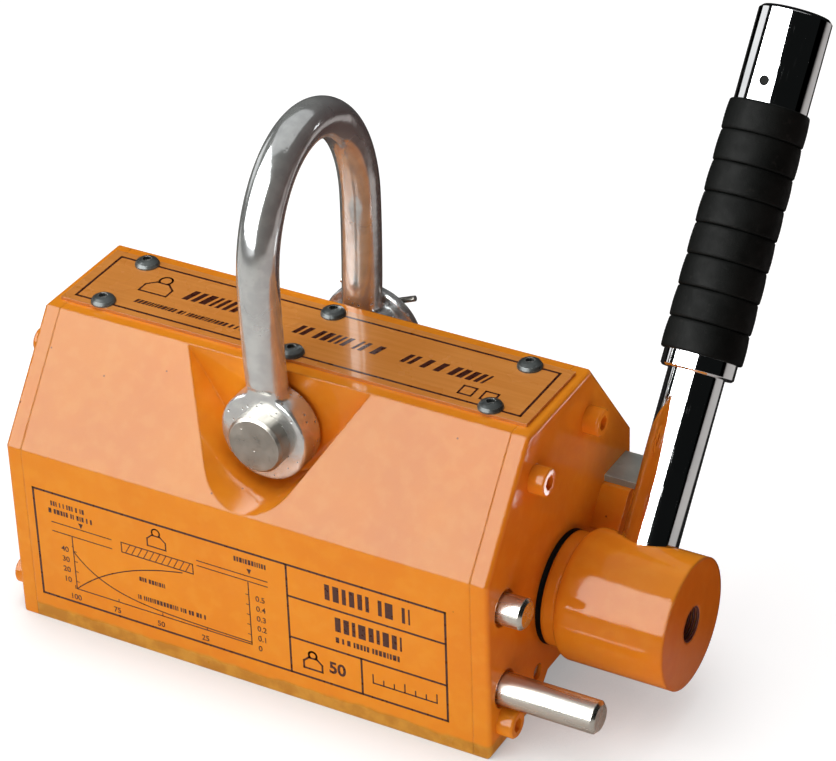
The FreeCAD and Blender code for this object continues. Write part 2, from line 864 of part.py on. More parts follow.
def rotor_flanges():
    """End flanges of the rotor: the drive side carries the shaft for the hub."""
    face = "(rotor_half + flange_thick)"
    drive = turned("DriveFlange", [
        ("rotor_half", "0"),
        ("rotor_half", "rotor_radius"),
        (face, "rotor_radius"),
        (face, "drive_journal"),
        ("hub_start", "drive_journal"),
        ("hub_start", "hub_seat_radius"),
        ("hub_seat_end", "hub_seat_radius"),
        ("hub_seat_end", "0"),
    ])
    flange_holes(drive, face, 1)
    sketch = sketch_on(drive, "YZ_Plane", "hub_seat_end")
    ring(sketch, "0", "0", "hub_screw_radius")
    pocket(drive, sketch, "hub_screw_tap_depth")
    keyway = sketch_on(drive, "XZ_Plane")
    outline(keyway, [
        ("key_start", "-hub_seat_radius - key_cut_over"),
        ("key_end", "-hub_seat_radius - key_cut_over"),
        ("key_end", "key_sunk - hub_seat_radius"),
        ("key_start", "key_sunk - hub_seat_radius"),
    ])
    cutter = pocket(drive, keyway)
    cutter.Type = "Length"
    bind(cutter, Length="key_width")
    on_axis(keep(drive, "rotor_flange_drive"))
    plain = turned("PlainFlange", [
        ("-rotor_half", "0"),
        ("-rotor_half", "rotor_radius"),
        ("-" + face, "rotor_radius"),
        ("-" + face, "plain_journal"),
        ("-" + face + " - plain_journal_length", "plain_journal"),
        ("-" + face + " - plain_journal_length", "0"),
    ])
    flange_holes(plain, "-" + face, -1)
    on_axis(keep(plain, "rotor_flange_plain"))


def rotor_screws():
    """Socket screws sunk in the two flanges."""
    screws = []
    for turn in (NO_TURN, HALF_TURN):
        for across, height in rotor_screw_spots():
            screw = socket_screw("rotor_screw", "(rotor_half + flange_thick - rotor_screw_sunk)",
                                 "rotor_head_thick", "m4_head", "(rotor_half - rotor_screw_reach)",
                                 "m4_radius", "m4_socket")
            place(screw, across, height, turn=turn)
            screws.append(screw)
    on_axis(group("rotor_screws", screws))


def washers():
    """Thin rubber seal and painted thrust collar in the gap between the cover and the hub."""
    start = COVER_FACE + " + running_gap"
    middle = COVER_FACE + " + seal_thick"
    seal = turned("Seal", [
        (start, "drive_journal"),
        (start, "seal_radius"),
        (middle + " - seal_lip", "seal_radius"),
        (middle, "seal_radius - seal_lip"),
        (middle, "drive_journal"),
    ])
    on_axis(keep(seal, "shaft_seal"))
    washer = plain_ring("ThrustWasher", middle, "hub_start", "drive_journal", "seal_radius")
    on_axis(keep(washer, "thrust_washer"))


def lever_hub():
    """Painted hub on the shaft, with a rounded inner rim and a socket for the lever rod."""
    body = turned("Hub", [
        ("hub_start", "hub_seat_radius"),
        ("hub_bore_end", "hub_seat_radius"),
        ("hub_bore_end", "hub_screw_hole"),
        ("hub_web_end", "hub_screw_hole"),
        ("hub_web_end", "hub_mouth_radius"),
        ("hub_end", "hub_mouth_radius"),
        ("hub_end", "hub_radius"),
        ("hub_start", "hub_radius"),
    ])
    doc.recompute()
    rim = []
    for number, edge in enumerate(body.Shape.Edges, start=1):
        middle = edge.CenterOfMass
        if edge.Length > 6 * SIZES["hub_radius"] and abs(middle.x - SIZES["hub_start"]) < 0.01:
            rim.append("Edge%d" % number)
    round_edges(body, body.Tip, rim, "hub_round")
    sketch = sketch_on(body, "XY_Plane", "rod_foot")
    ring(sketch, "lever_place", "0", "rod_radius")
    pocket(body, sketch, "hub_radius", backwards=True)
    sketch = sketch_on(body, "XY_Plane", "spot_face")
    ring(sketch, "lever_place", "0", "rod_radius + spot_face_gap")
    pocket(body, sketch, "hub_radius", backwards=True)
    slot = sketch_on(body, "XZ_Plane")
    outline(slot, [
        ("key_start", "-hub_seat_radius + key_cut_over"),
        ("key_end", "-hub_seat_radius + key_cut_over"),
        ("key_end", "-hub_seat_radius - key_sunk"),
        ("key_start", "-hub_seat_radius - key_sunk"),
    ])
    cutter = pocket(body, slot)
    cutter.Type = "Length"
    bind(cutter, Length="key_width")
    on_axis(keep(body, "lever_hub"))


def hub_key_and_screw():
    key = box("HubKey", "key_end - key_start", "key_width", "key_sunk * 2", "key_start",
              "-key_width / 2", "-hub_seat_radius - key_sunk")
    on_axis(group("hub_key", [key]))
    screw = socket_screw("HubScrew", "hub_web_end", "hub_screw_head_thick", "hub_screw_head",
                         "hub_seat_end - hub_screw_reach", "hub_screw_radius", "hub_socket")
    on_axis(keep(screw, "hub_screw"))


def stand_on_lever(thing, label):
    """Stand a piece, drawn along X, on the lever line; X = 0 is the rotor axis."""
    place(thing, along="lever_place", height="axis_height", turn=LEVER)
    return keep(thing, label)


def cross_hole(body):
    """Hole for the roll pin across a piece of the lever."""
    sketch = sketch_on(body, "XZ_Plane")
    ring(sketch, "roll_pin_place", "0", "roll_pin_radius")
    pocket(body, sketch)


def lever():
    """Rod, tube over its upper part, grip, plug and roll pin, drawn along X from the rotor axis."""
    core = plain_pin("LeverRod", "rod_foot", "rod_top", "rod_radius", "rod_bevel")
    cross_hole(core)
    stand_on_lever(core, "lever_rod")
    sleeve = turned("LeverTube", [
        ("tube_foot", "rod_radius"),
        ("tube_top", "rod_radius"),
        ("tube_top", "tube_radius - tube_top_bevel"),
        ("tube_top - tube_top_bevel", "tube_radius"),
        ("tube_foot + tube_foot_bevel", "tube_radius"),
        ("tube_foot", "tube_radius - tube_foot_bevel"),
    ])
    cross_hole(sleeve)
    stand_on_lever(sleeve, "lever_tube")
    stand_on_lever(turned("Grip", grip_corners()), "hand_grip")
    plug = plain_pin("TubePlug", "tube_top - plug_length", "tube_top - plug_sunk", "rod_radius",
                     "plug_bevel")
    stand_on_lever(plug, "tube_end_plug")
    pin = plain_pin("RollPin", "-tube_radius + roll_pin_sunk", "tube_radius - roll_pin_sunk",
                    "roll_pin_radius", "roll_pin_bevel")
    across = FreeCAD.Rotation(UP, 90)
    place(pin, along="roll_pin_place", turn=across)
    stand_on_lever(group_only("roll_pin_parts", [pin]), "roll_pin")


def group_only(name, pieces):
    thing = doc.addObject("Part::Compound", name)
    thing.Links = list(pieces)
    return thing


def grip_corners():
    """Outline of the grip: eight ribs with a narrow groove between neighbours."""
    pitch = "((grip_top - grip_foot + grip_groove) / %d)" % GRIP_RIBS
    corners = [("grip_foot", "tube_radius")]
    for number in range(GRIP_RIBS):
        start = "grip_foot + %d * %s" % (number, pitch)
        end = "%s + %s - grip_groove" % (start, pitch)
        corners.append((start, "grip_radius - rib_step"))
        corners.append((start + " + rib_rise", "grip_radius"))
        corners.append((end + " - rib_bevel", "grip_radius"))
        corners.append((end, "grip_radius - rib_bevel"))
        if number < GRIP_RIBS - 1:
            corners.append((end, "grip_radius - groove_depth"))
            corners.append((end + " + grip_groove", "grip_radius - groove_depth"))
    corners.append(("grip_top", "tube_radius"))
    return corners


# ---------------------------------------------------------------- lock pin

def lock_pin():
    """Short pull-out pin; a ring inside the shoe keeps it in and a rubber ring holds it by friction."""
    ring_start = "lock_ring_place"
    ring_end = "lock_ring_place + lock_ring_thick"
    ring_seat = "lock_pin_radius - lock_ring_groove"
    gasket_seat = "lock_pin_radius - o_ring_groove"
    pin = turned("LockPin", [
        ("lock_pin_start", "0"),
        ("lock_pin_start", "lock_pin_radius - lock_foot_bevel"),
        ("lock_pin_start + lock_foot_bevel", "lock_pin_radius"),
        (ring_start, "lock_pin_radius"),
        (ring_start, ring_seat),
        (ring_end, ring_seat),
        (ring_end, "lock_pin_radius"),
        ("o_ring_start", "lock_pin_radius"),
        ("o_ring_start", gasket_seat),
        ("o_ring_end", gasket_seat),
        ("o_ring_end", "lock_pin_radius"),
        ("lock_pin_end - lock_pin_bevel", "lock_pin_radius"),
        ("lock_pin_end", "lock_pin_radius - lock_pin_bevel"),
        ("lock_pin_end", "0"),
    ])
    retainer = plain_ring("LockRing", ring_start, ring_end, ring_seat, "lock_ring_radius")
    gasket = plain_ring("LockORing", "o_ring_start", "o_ring_end", gasket_seat,
                        "lock_pin_radius + o_ring_squeeze")
    for piece, label in ((pin, "lock_pin"), (retainer, "lock_pin_ring"), (gasket, "lock_pin_o_ring")):
        place(keep(piece, label), "lock_pin_across", "lock_pin_height")


# ---------------------------------------------------------------- shackle

def bow():
    """Bow with a crown bent to half an ellipse, two slightly curved legs and two flat eyes."""
    upright = FreeCAD.Rotation(ACROSS, -90)
    crown_path = doc.addObject("Part::Ellipse", "CrownPath")
    bind(crown_path, MajorRadius="bow_top - bow_radius - bow_shoulder", MinorRadius="bow_half")
    crown_path.Angle1 = 270
    crown_path.Angle2 = 90
    place(crown_path, "shackle_side", "bow_shoulder", turn=upright)
    pieces = [swept("Crown", crown_path, "shackle_side - bow_half", "bow_shoulder")]
    drop = "(bow_shoulder - pin_height)"
    inset = "(bow_half - bow_foot_half)"
    bend = "((%s * %s + %s * %s) / (2 * %s))" % (drop, drop, inset, inset, inset)
    for side in (1, -1):
        path = doc.addObject("Part::Circle", "LegPath")
        bind(path, Radius=bend, Angle1="0", Angle2="asin(%s / %s)" % (drop, bend))
        turn = FreeCAD.Rotation(UP, 90 if side > 0 else -90).multiply(FreeCAD.Rotation(ALONG, -90))
        sign = "+" if side > 0 else "-"
        place(path, "shackle_side %s (bow_half - %s)" % (sign, bend), "bow_shoulder", turn=turn)
        pieces.append(swept("Leg", path, "shackle_side %s bow_half" % sign, "bow_shoulder"))
    for start in ("eye_inner", "-eye_outer"):
        pieces.append(across_rod("Eye", "eye_radius", start, "eye_outer - eye_inner"))
    blank = fuse("BowBlank", *pieces)
    inside = across_rod("BowInside", "spot_radius", "-eye_inner", "eye_inner * 2")
    hole = across_rod("BowHole", "shackle_pin_radius + running_gap", "-eye_outer * 2", "eye_outer * 4")
    spots = [across_rod("BowSpot", "spot_radius", start, "spot_depth")
             for start in ("eye_outer", "-eye_outer - spot_depth")]
    keep(cut("Bow", blank, inside, hole, *spots), "shackle")


def across_rod(name, radius, start, length):
    """A cylinder about the shackle pin's axis; its start counts from the shackle's middle."""
    return rod(name, radius, length, FreeCAD.Rotation(ALONG, -90),
               across="shackle_side + (%s)" % start, height="pin_height")


def swept(name, path, across, height):
    """Round bar swept along a path that starts at a given place, heading up or down."""
    section = doc.addObject("Part::Circle", name + "Section")
    bind(section, Radius="bow_radius")
    place(section, across, height)
    bar = doc.addObject("Part::Sweep", name + "Bar")
    bar.Sections = [section]
    bar.Spine = (path, ["Edge1"])
    bar.Solid = True
    return bar


def on_pin(body, label):
    """Turn a piece drawn along X onto the shackle pin's axis, with X = 0 at the shackle's middle."""
    keep(body, label)
    place(body, "shackle_side", "pin_height", turn=FreeCAD.Rotation(UP, 90))


def shackle_pin():
    """Headed pin through both eyes and the housing, with a hole for the split pin."""
    head = "(eye_outer + shackle_head_thick)"
    body = turned("ShacklePin", [
        ("-" + head, "0"),
        ("-" + head, "shackle_head_radius - head_bevel"),
        ("-" + head + " + head_bevel", "shackle_head_radius"),
        ("-eye_outer", "shackle_head_radius"),
        ("-eye_outer", "shackle_pin_radius"),
        ("shackle_pin_end - pin_end_bevel", "shackle_pin_radius"),
        ("shackle_pin_end", "shackle_pin_radius - pin_end_bevel"),
        ("shackle_pin_end", "0"),
    ])
    sketch = sketch_on(body, "XY_Plane")
    ring(sketch, "split_pin_place", "0", "split_pin_radius")
    pocket(body, sketch)
    on_pin(body, "shackle_pin")


def shackle_washer():
    """Thick washer with both rims bevelled."""
    bore = "shackle_pin_radius + running_gap"
    outer = "eye_outer + washer_thick"
    washer = turned("Washer", [
        ("eye_outer", bore),
        ("eye_outer", "washer_radius - washer_bevel"),
        ("eye_outer + washer_bevel", "washer_radius"),
        (outer + " - washer_bevel", "washer_radius"),
        (outer, "washer_radius - washer_bevel"),
        (outer, bore),
    ])
    on_pin(washer, "shackle_washer")


def split_pin():
    """Split pin: straight shank, round eye at the bottom and two prongs bent over at the top."""
    place_across = "shackle_side + split_pin_place"
    shank = rod("SplitShank", "split_pin_radius", "(shackle_pin_radius + split_pin_out) * 2", NO_TURN,
                across=place_across, height="pin_height - shackle_pin_radius - split_pin_out")
    eye = doc.addObject("Part::Torus", "SplitEye")
    bind(eye, Radius1="split_eye_radius", Radius2="split_eye_bar")
    low = "pin_height - shackle_pin_radius - split_eye_drop"
    place(eye, place_across, low, turn=FreeCAD.Rotation(ALONG, 90))
    pieces = [shank, eye]
    for side in (1, -1):
        lean = FreeCAD.Rotation(ACROSS, side * SIZES["prong_lean"])
        pieces.append(rod("SplitProng", "prong_radius", "prong_length", lean, across=place_across,
                          height="pin_height + shackle_pin_radius + prong_rise"))
    keep(fuse("SplitPin", *pieces), "split_pin")


# ---------------------------------------------------------------- build and write

def build():
    front_shoe()
    rear_shoe()
    spacer_bars()
    magnet_row("fixed_magnets", "(shoe_length / 2 - 3)", "-high_gap_half", "high_gap_half * 2",
               "fixed_magnet_low", "fixed_magnet_top - fixed_magnet_low")
    covers()
    cover_screws("cover_screws_drive", NO_TURN)
    cover_screws("cover_screws_plain", HALF_TURN)
    dowels()
    rotor_bushes()
    shackle_bushes()
    stop_block()
    stop_block_screws()
    stop_plate()
    stop_pin()
    name_plate()
    name_plate_screws()
    rotor_poles()
    rotor_spacers()
    magnet_row("rotor_magnets", "rotor_half", "-magnet_reach", "magnet_reach * 2",
               "-slab_half", "slab_half * 2", LEAN, "axis_height")
    rotor_flanges()
    rotor_screws()
    washers()
    lever_hub()
    hub_key_and_screw()
    lever()
    lock_pin()
    bow()
    shackle_pin()
    shackle_washer()
    split_pin()
    doc.recompute()


def check():
    """Stop if any object failed or any sub-part has no valid shape."""
    for thing in doc.Objects:
        if "Invalid" in thing.State or "Error" in thing.State:
            raise RuntimeError("%s (%s) failed: %s" % (thing.Name, thing.Label, thing.State))
    for thing in nodes:
        if thing.Shape.isNull() or not thing.Shape.isValid() or not thing.Shape.Solids:
            raise RuntimeError("%s has no valid solid" % thing.Label)


def write():
    os.makedirs("parts", exist_ok=True)
    for thing in nodes:
        thing.Shape.exportStep("parts/%s.step" % thing.Label)


build()
check()
write()
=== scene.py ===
import math
import random

import bmesh
import bpy
from mathutils import Matrix, Vector
from mathutils.kdtree import KDTree


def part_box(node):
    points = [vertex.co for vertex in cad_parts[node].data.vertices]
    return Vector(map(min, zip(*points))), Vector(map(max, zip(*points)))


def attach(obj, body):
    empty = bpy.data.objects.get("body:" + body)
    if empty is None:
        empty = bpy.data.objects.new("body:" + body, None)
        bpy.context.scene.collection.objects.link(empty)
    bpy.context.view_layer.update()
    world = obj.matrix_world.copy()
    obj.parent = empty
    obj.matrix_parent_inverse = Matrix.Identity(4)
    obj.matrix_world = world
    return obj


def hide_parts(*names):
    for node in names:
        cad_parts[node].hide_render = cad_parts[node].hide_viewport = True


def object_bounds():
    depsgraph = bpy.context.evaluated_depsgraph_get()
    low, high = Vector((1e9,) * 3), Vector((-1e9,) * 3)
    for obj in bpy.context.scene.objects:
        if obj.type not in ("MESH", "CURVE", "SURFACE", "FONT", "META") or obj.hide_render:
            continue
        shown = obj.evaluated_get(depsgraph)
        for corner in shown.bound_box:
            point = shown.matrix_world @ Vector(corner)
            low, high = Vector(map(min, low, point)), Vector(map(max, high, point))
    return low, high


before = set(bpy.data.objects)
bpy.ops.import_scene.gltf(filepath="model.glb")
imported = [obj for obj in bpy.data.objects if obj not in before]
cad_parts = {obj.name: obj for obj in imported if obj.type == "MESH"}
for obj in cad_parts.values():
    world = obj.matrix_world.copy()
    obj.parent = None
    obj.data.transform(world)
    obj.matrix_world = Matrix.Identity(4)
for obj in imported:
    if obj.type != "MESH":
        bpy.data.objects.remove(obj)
CAD_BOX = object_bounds()

# Looks of a hand-operated lifting magnet. Lengths are in metres, and print layouts in millimetres.
# +X points to the lever, +Z up, and -Y to the front with the label.
MM = 0.001
random.seed(7)


# ---------------------------------------------------------------- places read from the frame

SHOE_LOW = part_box("pole_shoe_front")[0]
FRONT = SHOE_LOW.y
PLATE_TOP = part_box("name_plate")[1].z
HUB_LOW, HUB_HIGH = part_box("lever_hub")
AXIS_Z = (HUB_LOW.z + HUB_HIGH.z) / 2
TUBE_LOW, TUBE_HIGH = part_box("lever_tube")
LEVER_X = (TUBE_LOW.x + TUBE_HIGH.x) / 2
TUBE_RADIUS = (TUBE_HIGH.x - TUBE_LOW.x) / 2
GRIP_LOW, GRIP_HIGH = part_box("hand_grip")
GRIP_RADIUS = (GRIP_HIGH.x - GRIP_LOW.x) / 2
PIN_LOW, PIN_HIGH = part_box("shackle_pin")
PIN_Z = (PIN_LOW.z + PIN_HIGH.z) / 2
BOW_LOW, BOW_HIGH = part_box("shackle")

LEVER_MIDDLE = (TUBE_LOW + TUBE_HIGH) / 2
LEVER_LINE = Vector((0, LEVER_MIDDLE.y, LEVER_MIDDLE.z - AXIS_Z)).normalized()
LEVER_FOOT = Vector((LEVER_X, 0, AXIS_Z))


def along_lever(node):
    """First and last distance of a round node from the rotor axis, along the lever."""
    points = [(LEVER_LINE.dot(v.co - LEVER_FOOT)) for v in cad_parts[node].data.vertices]
    return min(points), max(points)


# ---------------------------------------------------------------- node trees

def srgb(red, green, blue):
    """A colour given as 0 to 255 display values, as the linear colour that shaders use."""
    linear = []
    for value in (red, green, blue):
        share = value / 255
        linear.append(share / 12.92 if share <= 0.04045 else ((share + 0.055) / 1.055) ** 2.4)
    return (*linear, 1.0)


EVEN = (1, 1, 1)
BEVEL_SAMPLES = 6
EDGE_MATCH = (0.995, 0.9)
FACING_DOWN = (-0.35, -0.6)
SPOT_CORE = 0.35


class Finish:
    """One procedural material; its texture space is the frame, in metres.

    A noise scale is in waves per metre. A stretch below 1 draws the pattern out along that axis.
    """

    def __init__(self, name):
        self.material = bpy.data.materials.new(name)
        self.material.use_nodes = True
        self.tree = self.material.node_tree
        self.tree.nodes.clear()
        self.point = self.make("ShaderNodeTexCoord").outputs["Object"]
        self.axes = self.make("ShaderNodeSeparateXYZ", {"Vector": self.point}).outputs

    def make(self, kind, inputs=None, **settings):
        node = self.tree.nodes.new(kind)
        for key, value in settings.items():
            setattr(node, key, value)
        for key, value in (inputs or {}).items():
            if isinstance(value, bpy.types.NodeSocket):
                self.tree.links.new(value, node.inputs[key])
            else:
                node.inputs[key].default_value = value
        return node

    def maths(self, kind, first, second):
        return self.make("ShaderNodeMath", {0: first, 1: second}, operation=kind).outputs[0]

    def times(self, first, second):
        return self.maths("MULTIPLY", first, second)

    def plus(self, first, second):
        return self.maths("ADD", first, second)

    def mix(self, share, first, second):
        node = self.make("ShaderNodeMix", {0: share, 6: first, 7: second}, data_type="RGBA")
        return node.outputs[2]

    def ramp(self, value, start, end, low=0.0, high=1.0):
        """Smooth step of a value between start and end, from low to high."""
        inputs = {"Value": value, "From Min": start, "From Max": end, "To Min": low, "To Max": high}
        return self.make("ShaderNodeMapRange", inputs, interpolation_type="SMOOTHSTEP").outputs[0]

    def stretched(self, stretch):
        inputs = {0: self.point, 1: stretch}
        return self.make("ShaderNodeVectorMath", inputs, operation="MULTIPLY").outputs[0]

    def noise(self, scale, detail=3, stretch=EVEN):
        inputs = {"Vector": self.stretched(stretch), "Scale": scale, "Detail": detail}
        return self.make("ShaderNodeTexNoise", inputs).outputs["Fac"]

    def patches(self, scale, start, end, low=0.0, high=1.0, detail=3, stretch=EVEN):
        """Noise as soft patches: low where it is under start, high where it is over end."""
        return self.ramp(self.noise(scale, detail, stretch), start, end, low, high)

    def spots(self, spacing, radius, share, stretch=EVEN):
        """Scattered round spots: spacing and radius in metres, share of the cells that hold one."""
        inputs = {"Vector": self.stretched(stretch), "Scale": 1 / spacing}
        cells = self.make("ShaderNodeTexVoronoi", inputs)
        chance = self.make("ShaderNodeSeparateColor", {"Color": cells.outputs["Color"]}).outputs[0]
        chosen = self.maths("LESS_THAN", chance, share)
        reach = radius / spacing
        inside = self.ramp(cells.outputs["Distance"], reach, reach * SPOT_CORE)
        return self.times(inside, chosen)

    def bump(self, height, depth, below=None):
        inputs = {"Height": height, "Distance": depth, "Strength": 1.0}
        if below is not None:
            inputs["Normal"] = below
        return self.make("ShaderNodeBump", inputs).outputs[0]

    def soft_edges(self, radius):
        """Shading normal with rounded edges, and a mask that is 1 on those edges."""
        rounded = self.make("ShaderNodeBevel", {"Radius": radius}, samples=BEVEL_SAMPLES).outputs[0]
        flat = self.make("ShaderNodeNewGeometry").outputs["Normal"]
        match = self.make("ShaderNodeVectorMath", {0: rounded, 1: flat}, operation="DOT_PRODUCT")
        return rounded, self.ramp(match.outputs["Value"], *EDGE_MATCH)

    def facing_down(self):
        normal = self.make("ShaderNodeNewGeometry").outputs["True Normal"]
        upward = self.make("ShaderNodeSeparateXYZ", {"Vector": normal}).outputs["Z"]
        return self.ramp(upward, *FACING_DOWN)

    def surface(self, **inputs):
        named = {key.replace("_", " "): value for key, value in inputs.items()}
        shader = self.make("ShaderNodeBsdfPrincipled", named)
        self.make("ShaderNodeOutputMaterial", {"Surface": shader.outputs[0]})
        return self.material


# ---------------------------------------------------------------- painted surfaces

ORANGE = (0.88, 0.291, 0.018, 1)
ORANGE_DEEP = (0.85, 0.262, 0.017, 1)
ORANGE_PALE = (0.91, 0.35, 0.03, 1)
DARK_SPECK = srgb(110, 45, 14)
PAINT_MIRROR = 0.26
PEEL_DEPTH = 0.10 * MM
PIMPLE_DEPTH = 0.10 * MM
WAVE_DEPTH = 0.22 * MM

OILY_BROWN = srgb(186, 128, 40)
OILY_PALE = srgb(212, 156, 58)
OILY_COVER = 0.8
OILY_ROUGHER = 0.22
BAND_TOP = 4.6 * MM
BAND_FADE = 0.8 * MM
BAND_RAGGED = 1.9 * MM
SEAM_FADE = 0.2 * MM
GROUND_DARK = srgb(120, 118, 112)
GROUND_LIGHT = srgb(176, 174, 168)
GROUND_ROUGH = 0.34
GROOVE_TOP = 15 * MM
GROOVE_FADE = 1 * MM


def worn_foot(f, colour, roughness):
    """Oily band along the foot of the pole shoes, and ground steel on the lifting face."""
    ragged = f.times(f.maths("SUBTRACT", f.noise(85, detail=5), 0.5), BAND_RAGGED * 2)
    level = f.plus(f.axes["Z"], ragged)
    oily = f.ramp(level, BAND_TOP + BAND_FADE, BAND_TOP - BAND_FADE)
    beyond_seam = f.ramp(f.axes["X"], SHOE_LOW.x - SEAM_FADE, SHOE_LOW.x + SEAM_FADE)
    oily = f.times(oily, beyond_seam)
    stain = f.mix(f.patches(190, 0.35, 0.65, detail=4), OILY_BROWN, OILY_PALE)
    colour = f.mix(f.times(oily, OILY_COVER), colour, stain)
    roughness = f.plus(roughness, f.times(oily, OILY_ROUGHER))
    low_down = f.ramp(f.axes["Z"], GROOVE_TOP + GROOVE_FADE, GROOVE_TOP)
    ground = f.times(f.facing_down(), low_down)
    grind = f.patches(900, 0.3, 0.7, low=0.34, high=0.5, detail=2, stretch=(0.05, 1, 1))
    colour = f.mix(ground, colour, f.mix(grind, GROUND_DARK, GROUND_LIGHT))
    roughness = f.maths("MAXIMUM", roughness, f.times(ground, GROUND_ROUGH))
    return colour, roughness, ground


def orange_paint(name, foot=False, edge_radius=0.9 * MM):
    """Thick gloss enamel: cloudy tone, pimples, dust specks, thin paint and a painted highlight on the
    edges.
    """
    f = Finish(name)
    clouds = f.patches(28, 0.35, 0.68, detail=4)
    colour = f.mix(clouds, ORANGE_DEEP, ORANGE)
    fine = f.patches(210, 0.42, 0.72, high=0.35)
    colour = f.mix(fine, colour, ORANGE_PALE)
    pimples = f.spots(spacing=7.5 * MM, radius=0.75 * MM, share=0.16)
    drops = f.spots(spacing=19 * MM, radius=1.5 * MM, share=0.2, stretch=(1, 1, 0.55))
    specks = f.spots(spacing=5.0 * MM, radius=0.42 * MM, share=0.07)
    rounded, edge = f.soft_edges(edge_radius)
    # Paler patches along the edges: partly thin paint, partly a painted highlight on the rounded edges.
    worn_and_highlit = f.times(edge, f.patches(120, 0.5, 0.72, detail=4))
    colour = f.mix(f.times(worn_and_highlit, 0.55), colour, ORANGE_PALE)
    colour = f.mix(f.times(specks, 0.8), colour, DARK_SPECK)
    colour = f.mix(f.times(pimples, 0.22), colour, ORANGE_DEEP)
    roughness = f.patches(60, 0.3, 0.75, low=0.05, high=0.12)
    metal = 0.0
    if foot:
        colour, roughness, metal = worn_foot(f, colour, roughness)
    relief = f.plus(f.times(pimples, 0.5), drops)
    normal = f.bump(relief, PIMPLE_DEPTH, below=rounded)
    normal = f.bump(f.noise(150, detail=2), PEEL_DEPTH, below=normal)
    normal = f.bump(f.noise(26, detail=2), WAVE_DEPTH, below=normal)
    return f.surface(Base_Color=colour, Roughness=roughness, Metallic=metal, Normal=normal,
                     Specular_IOR_Level=PAINT_MIRROR)


PRINT_BROWN = srgb(66, 24, 10)
PRINT_DARK = srgb(58, 18, 6)
PRINT_STARVED = srgb(120, 60, 22)
FOIL_DEEP = srgb(216, 138, 62)
FOIL = srgb(226, 150, 74)
FOIL_CLOUD = srgb(206, 126, 50)
FOIL_EDGE = srgb(238, 190, 150)


def gold_foil(name):
    """Printed gold label under clear film: silky brushed tone and a glossy top."""
    f = Finish(name)
    brushed = f.patches(900, 0.25, 0.75, stretch=(0.04, 1, 1))
    colour = f.mix(brushed, FOIL_DEEP, FOIL)
    clouds = f.patches(22, 0.35, 0.7)
    colour = f.mix(f.times(clouds, 0.5), colour, FOIL_CLOUD)
    rounded, edge = f.soft_edges(0.25 * MM)
    colour = f.mix(f.times(edge, 0.5), colour, FOIL_EDGE)
    rough = f.patches(75, 0.3, 0.7, low=0.2, high=0.3)
    return f.surface(Base_Color=colour, Roughness=rough, Normal=rounded,
                     Specular_IOR_Level=0.2, Coat_Weight=0.35, Coat_Roughness=0.05)


def print_ink(name, colour):
    """Screen-printed ink, slightly starved in places."""
    f = Finish(name)
    starved = f.patches(1400, 0.55, 0.8, high=0.45)
    shade = f.mix(starved, colour, PRINT_STARVED)
    rough = f.patches(500, 0.3, 0.7, low=0.25, high=0.4, detail=2)
    normal = f.bump(f.noise(1800, detail=2), 0.01 * MM)
    return f.surface(Base_Color=shade, Roughness=rough, Normal=normal)


# ---------------------------------------------------------------- metals

DIRT = srgb(96, 90, 82)
RUBBED_EDGE = srgb(232, 230, 226)
STEEL_GRAIN_DEPTH = 0.012 * MM
PIT_DEPTH = 0.08 * MM
ALONG_X = (0.1, 1, 1)


def steel(name, low, high, roughness, grain=EVEN, pits=0.0, edge=0.25 * MM, metal=1.0):
    """Bare or plated steel: drawn grain, tone clouds, small pits and rounded edges."""
    f = Finish(name)
    tone = f.patches(70, 0.3, 0.7, detail=4, stretch=grain)
    colour = f.mix(tone, low, high)
    dirt = f.patches(320, 0.62, 0.8, high=0.35, stretch=grain)
    colour = f.mix(dirt, colour, DIRT)
    rounded, rubbed = f.soft_edges(edge)
    colour = f.mix(f.times(rubbed, 0.4), colour, RUBBED_EDGE)
    holes = f.spots(spacing=1.3 * MM, radius=0.4 * MM, share=pits)
    rough = f.patches(240, 0.3, 0.7, low=roughness * 0.75, high=roughness * 1.3, stretch=grain)
    rough = f.plus(rough, f.times(holes, 0.3))
    normal = f.bump(f.noise(1500, detail=2, stretch=grain), STEEL_GRAIN_DEPTH, below=rounded)
    normal = f.bump(f.times(holes, -1.0), PIT_DEPTH, below=normal)
    return f.surface(Base_Color=colour, Roughness=rough, Metallic=metal, Normal=normal)


FORGE_GRAIN_FROM = 146 * MM
FORGE_GRAIN_FULL = 112 * MM
FORGE_GRAIN_RAGGED = 24 * MM
FORGE_GRAIN_DEPTH = 0.035 * MM
FORGE_WAVE_DEPTH = 0.16 * MM
FORGE_PIT_DEPTH = 0.12 * MM
FORGE_PITS_FROM = 97 * MM
FORGE_PITS_FULL = 90 * MM
FORGE_DARK = srgb(200, 203, 204)
FORGE_LIGHT = srgb(216, 219, 219)
FORGE_PIT = srgb(88, 88, 86)


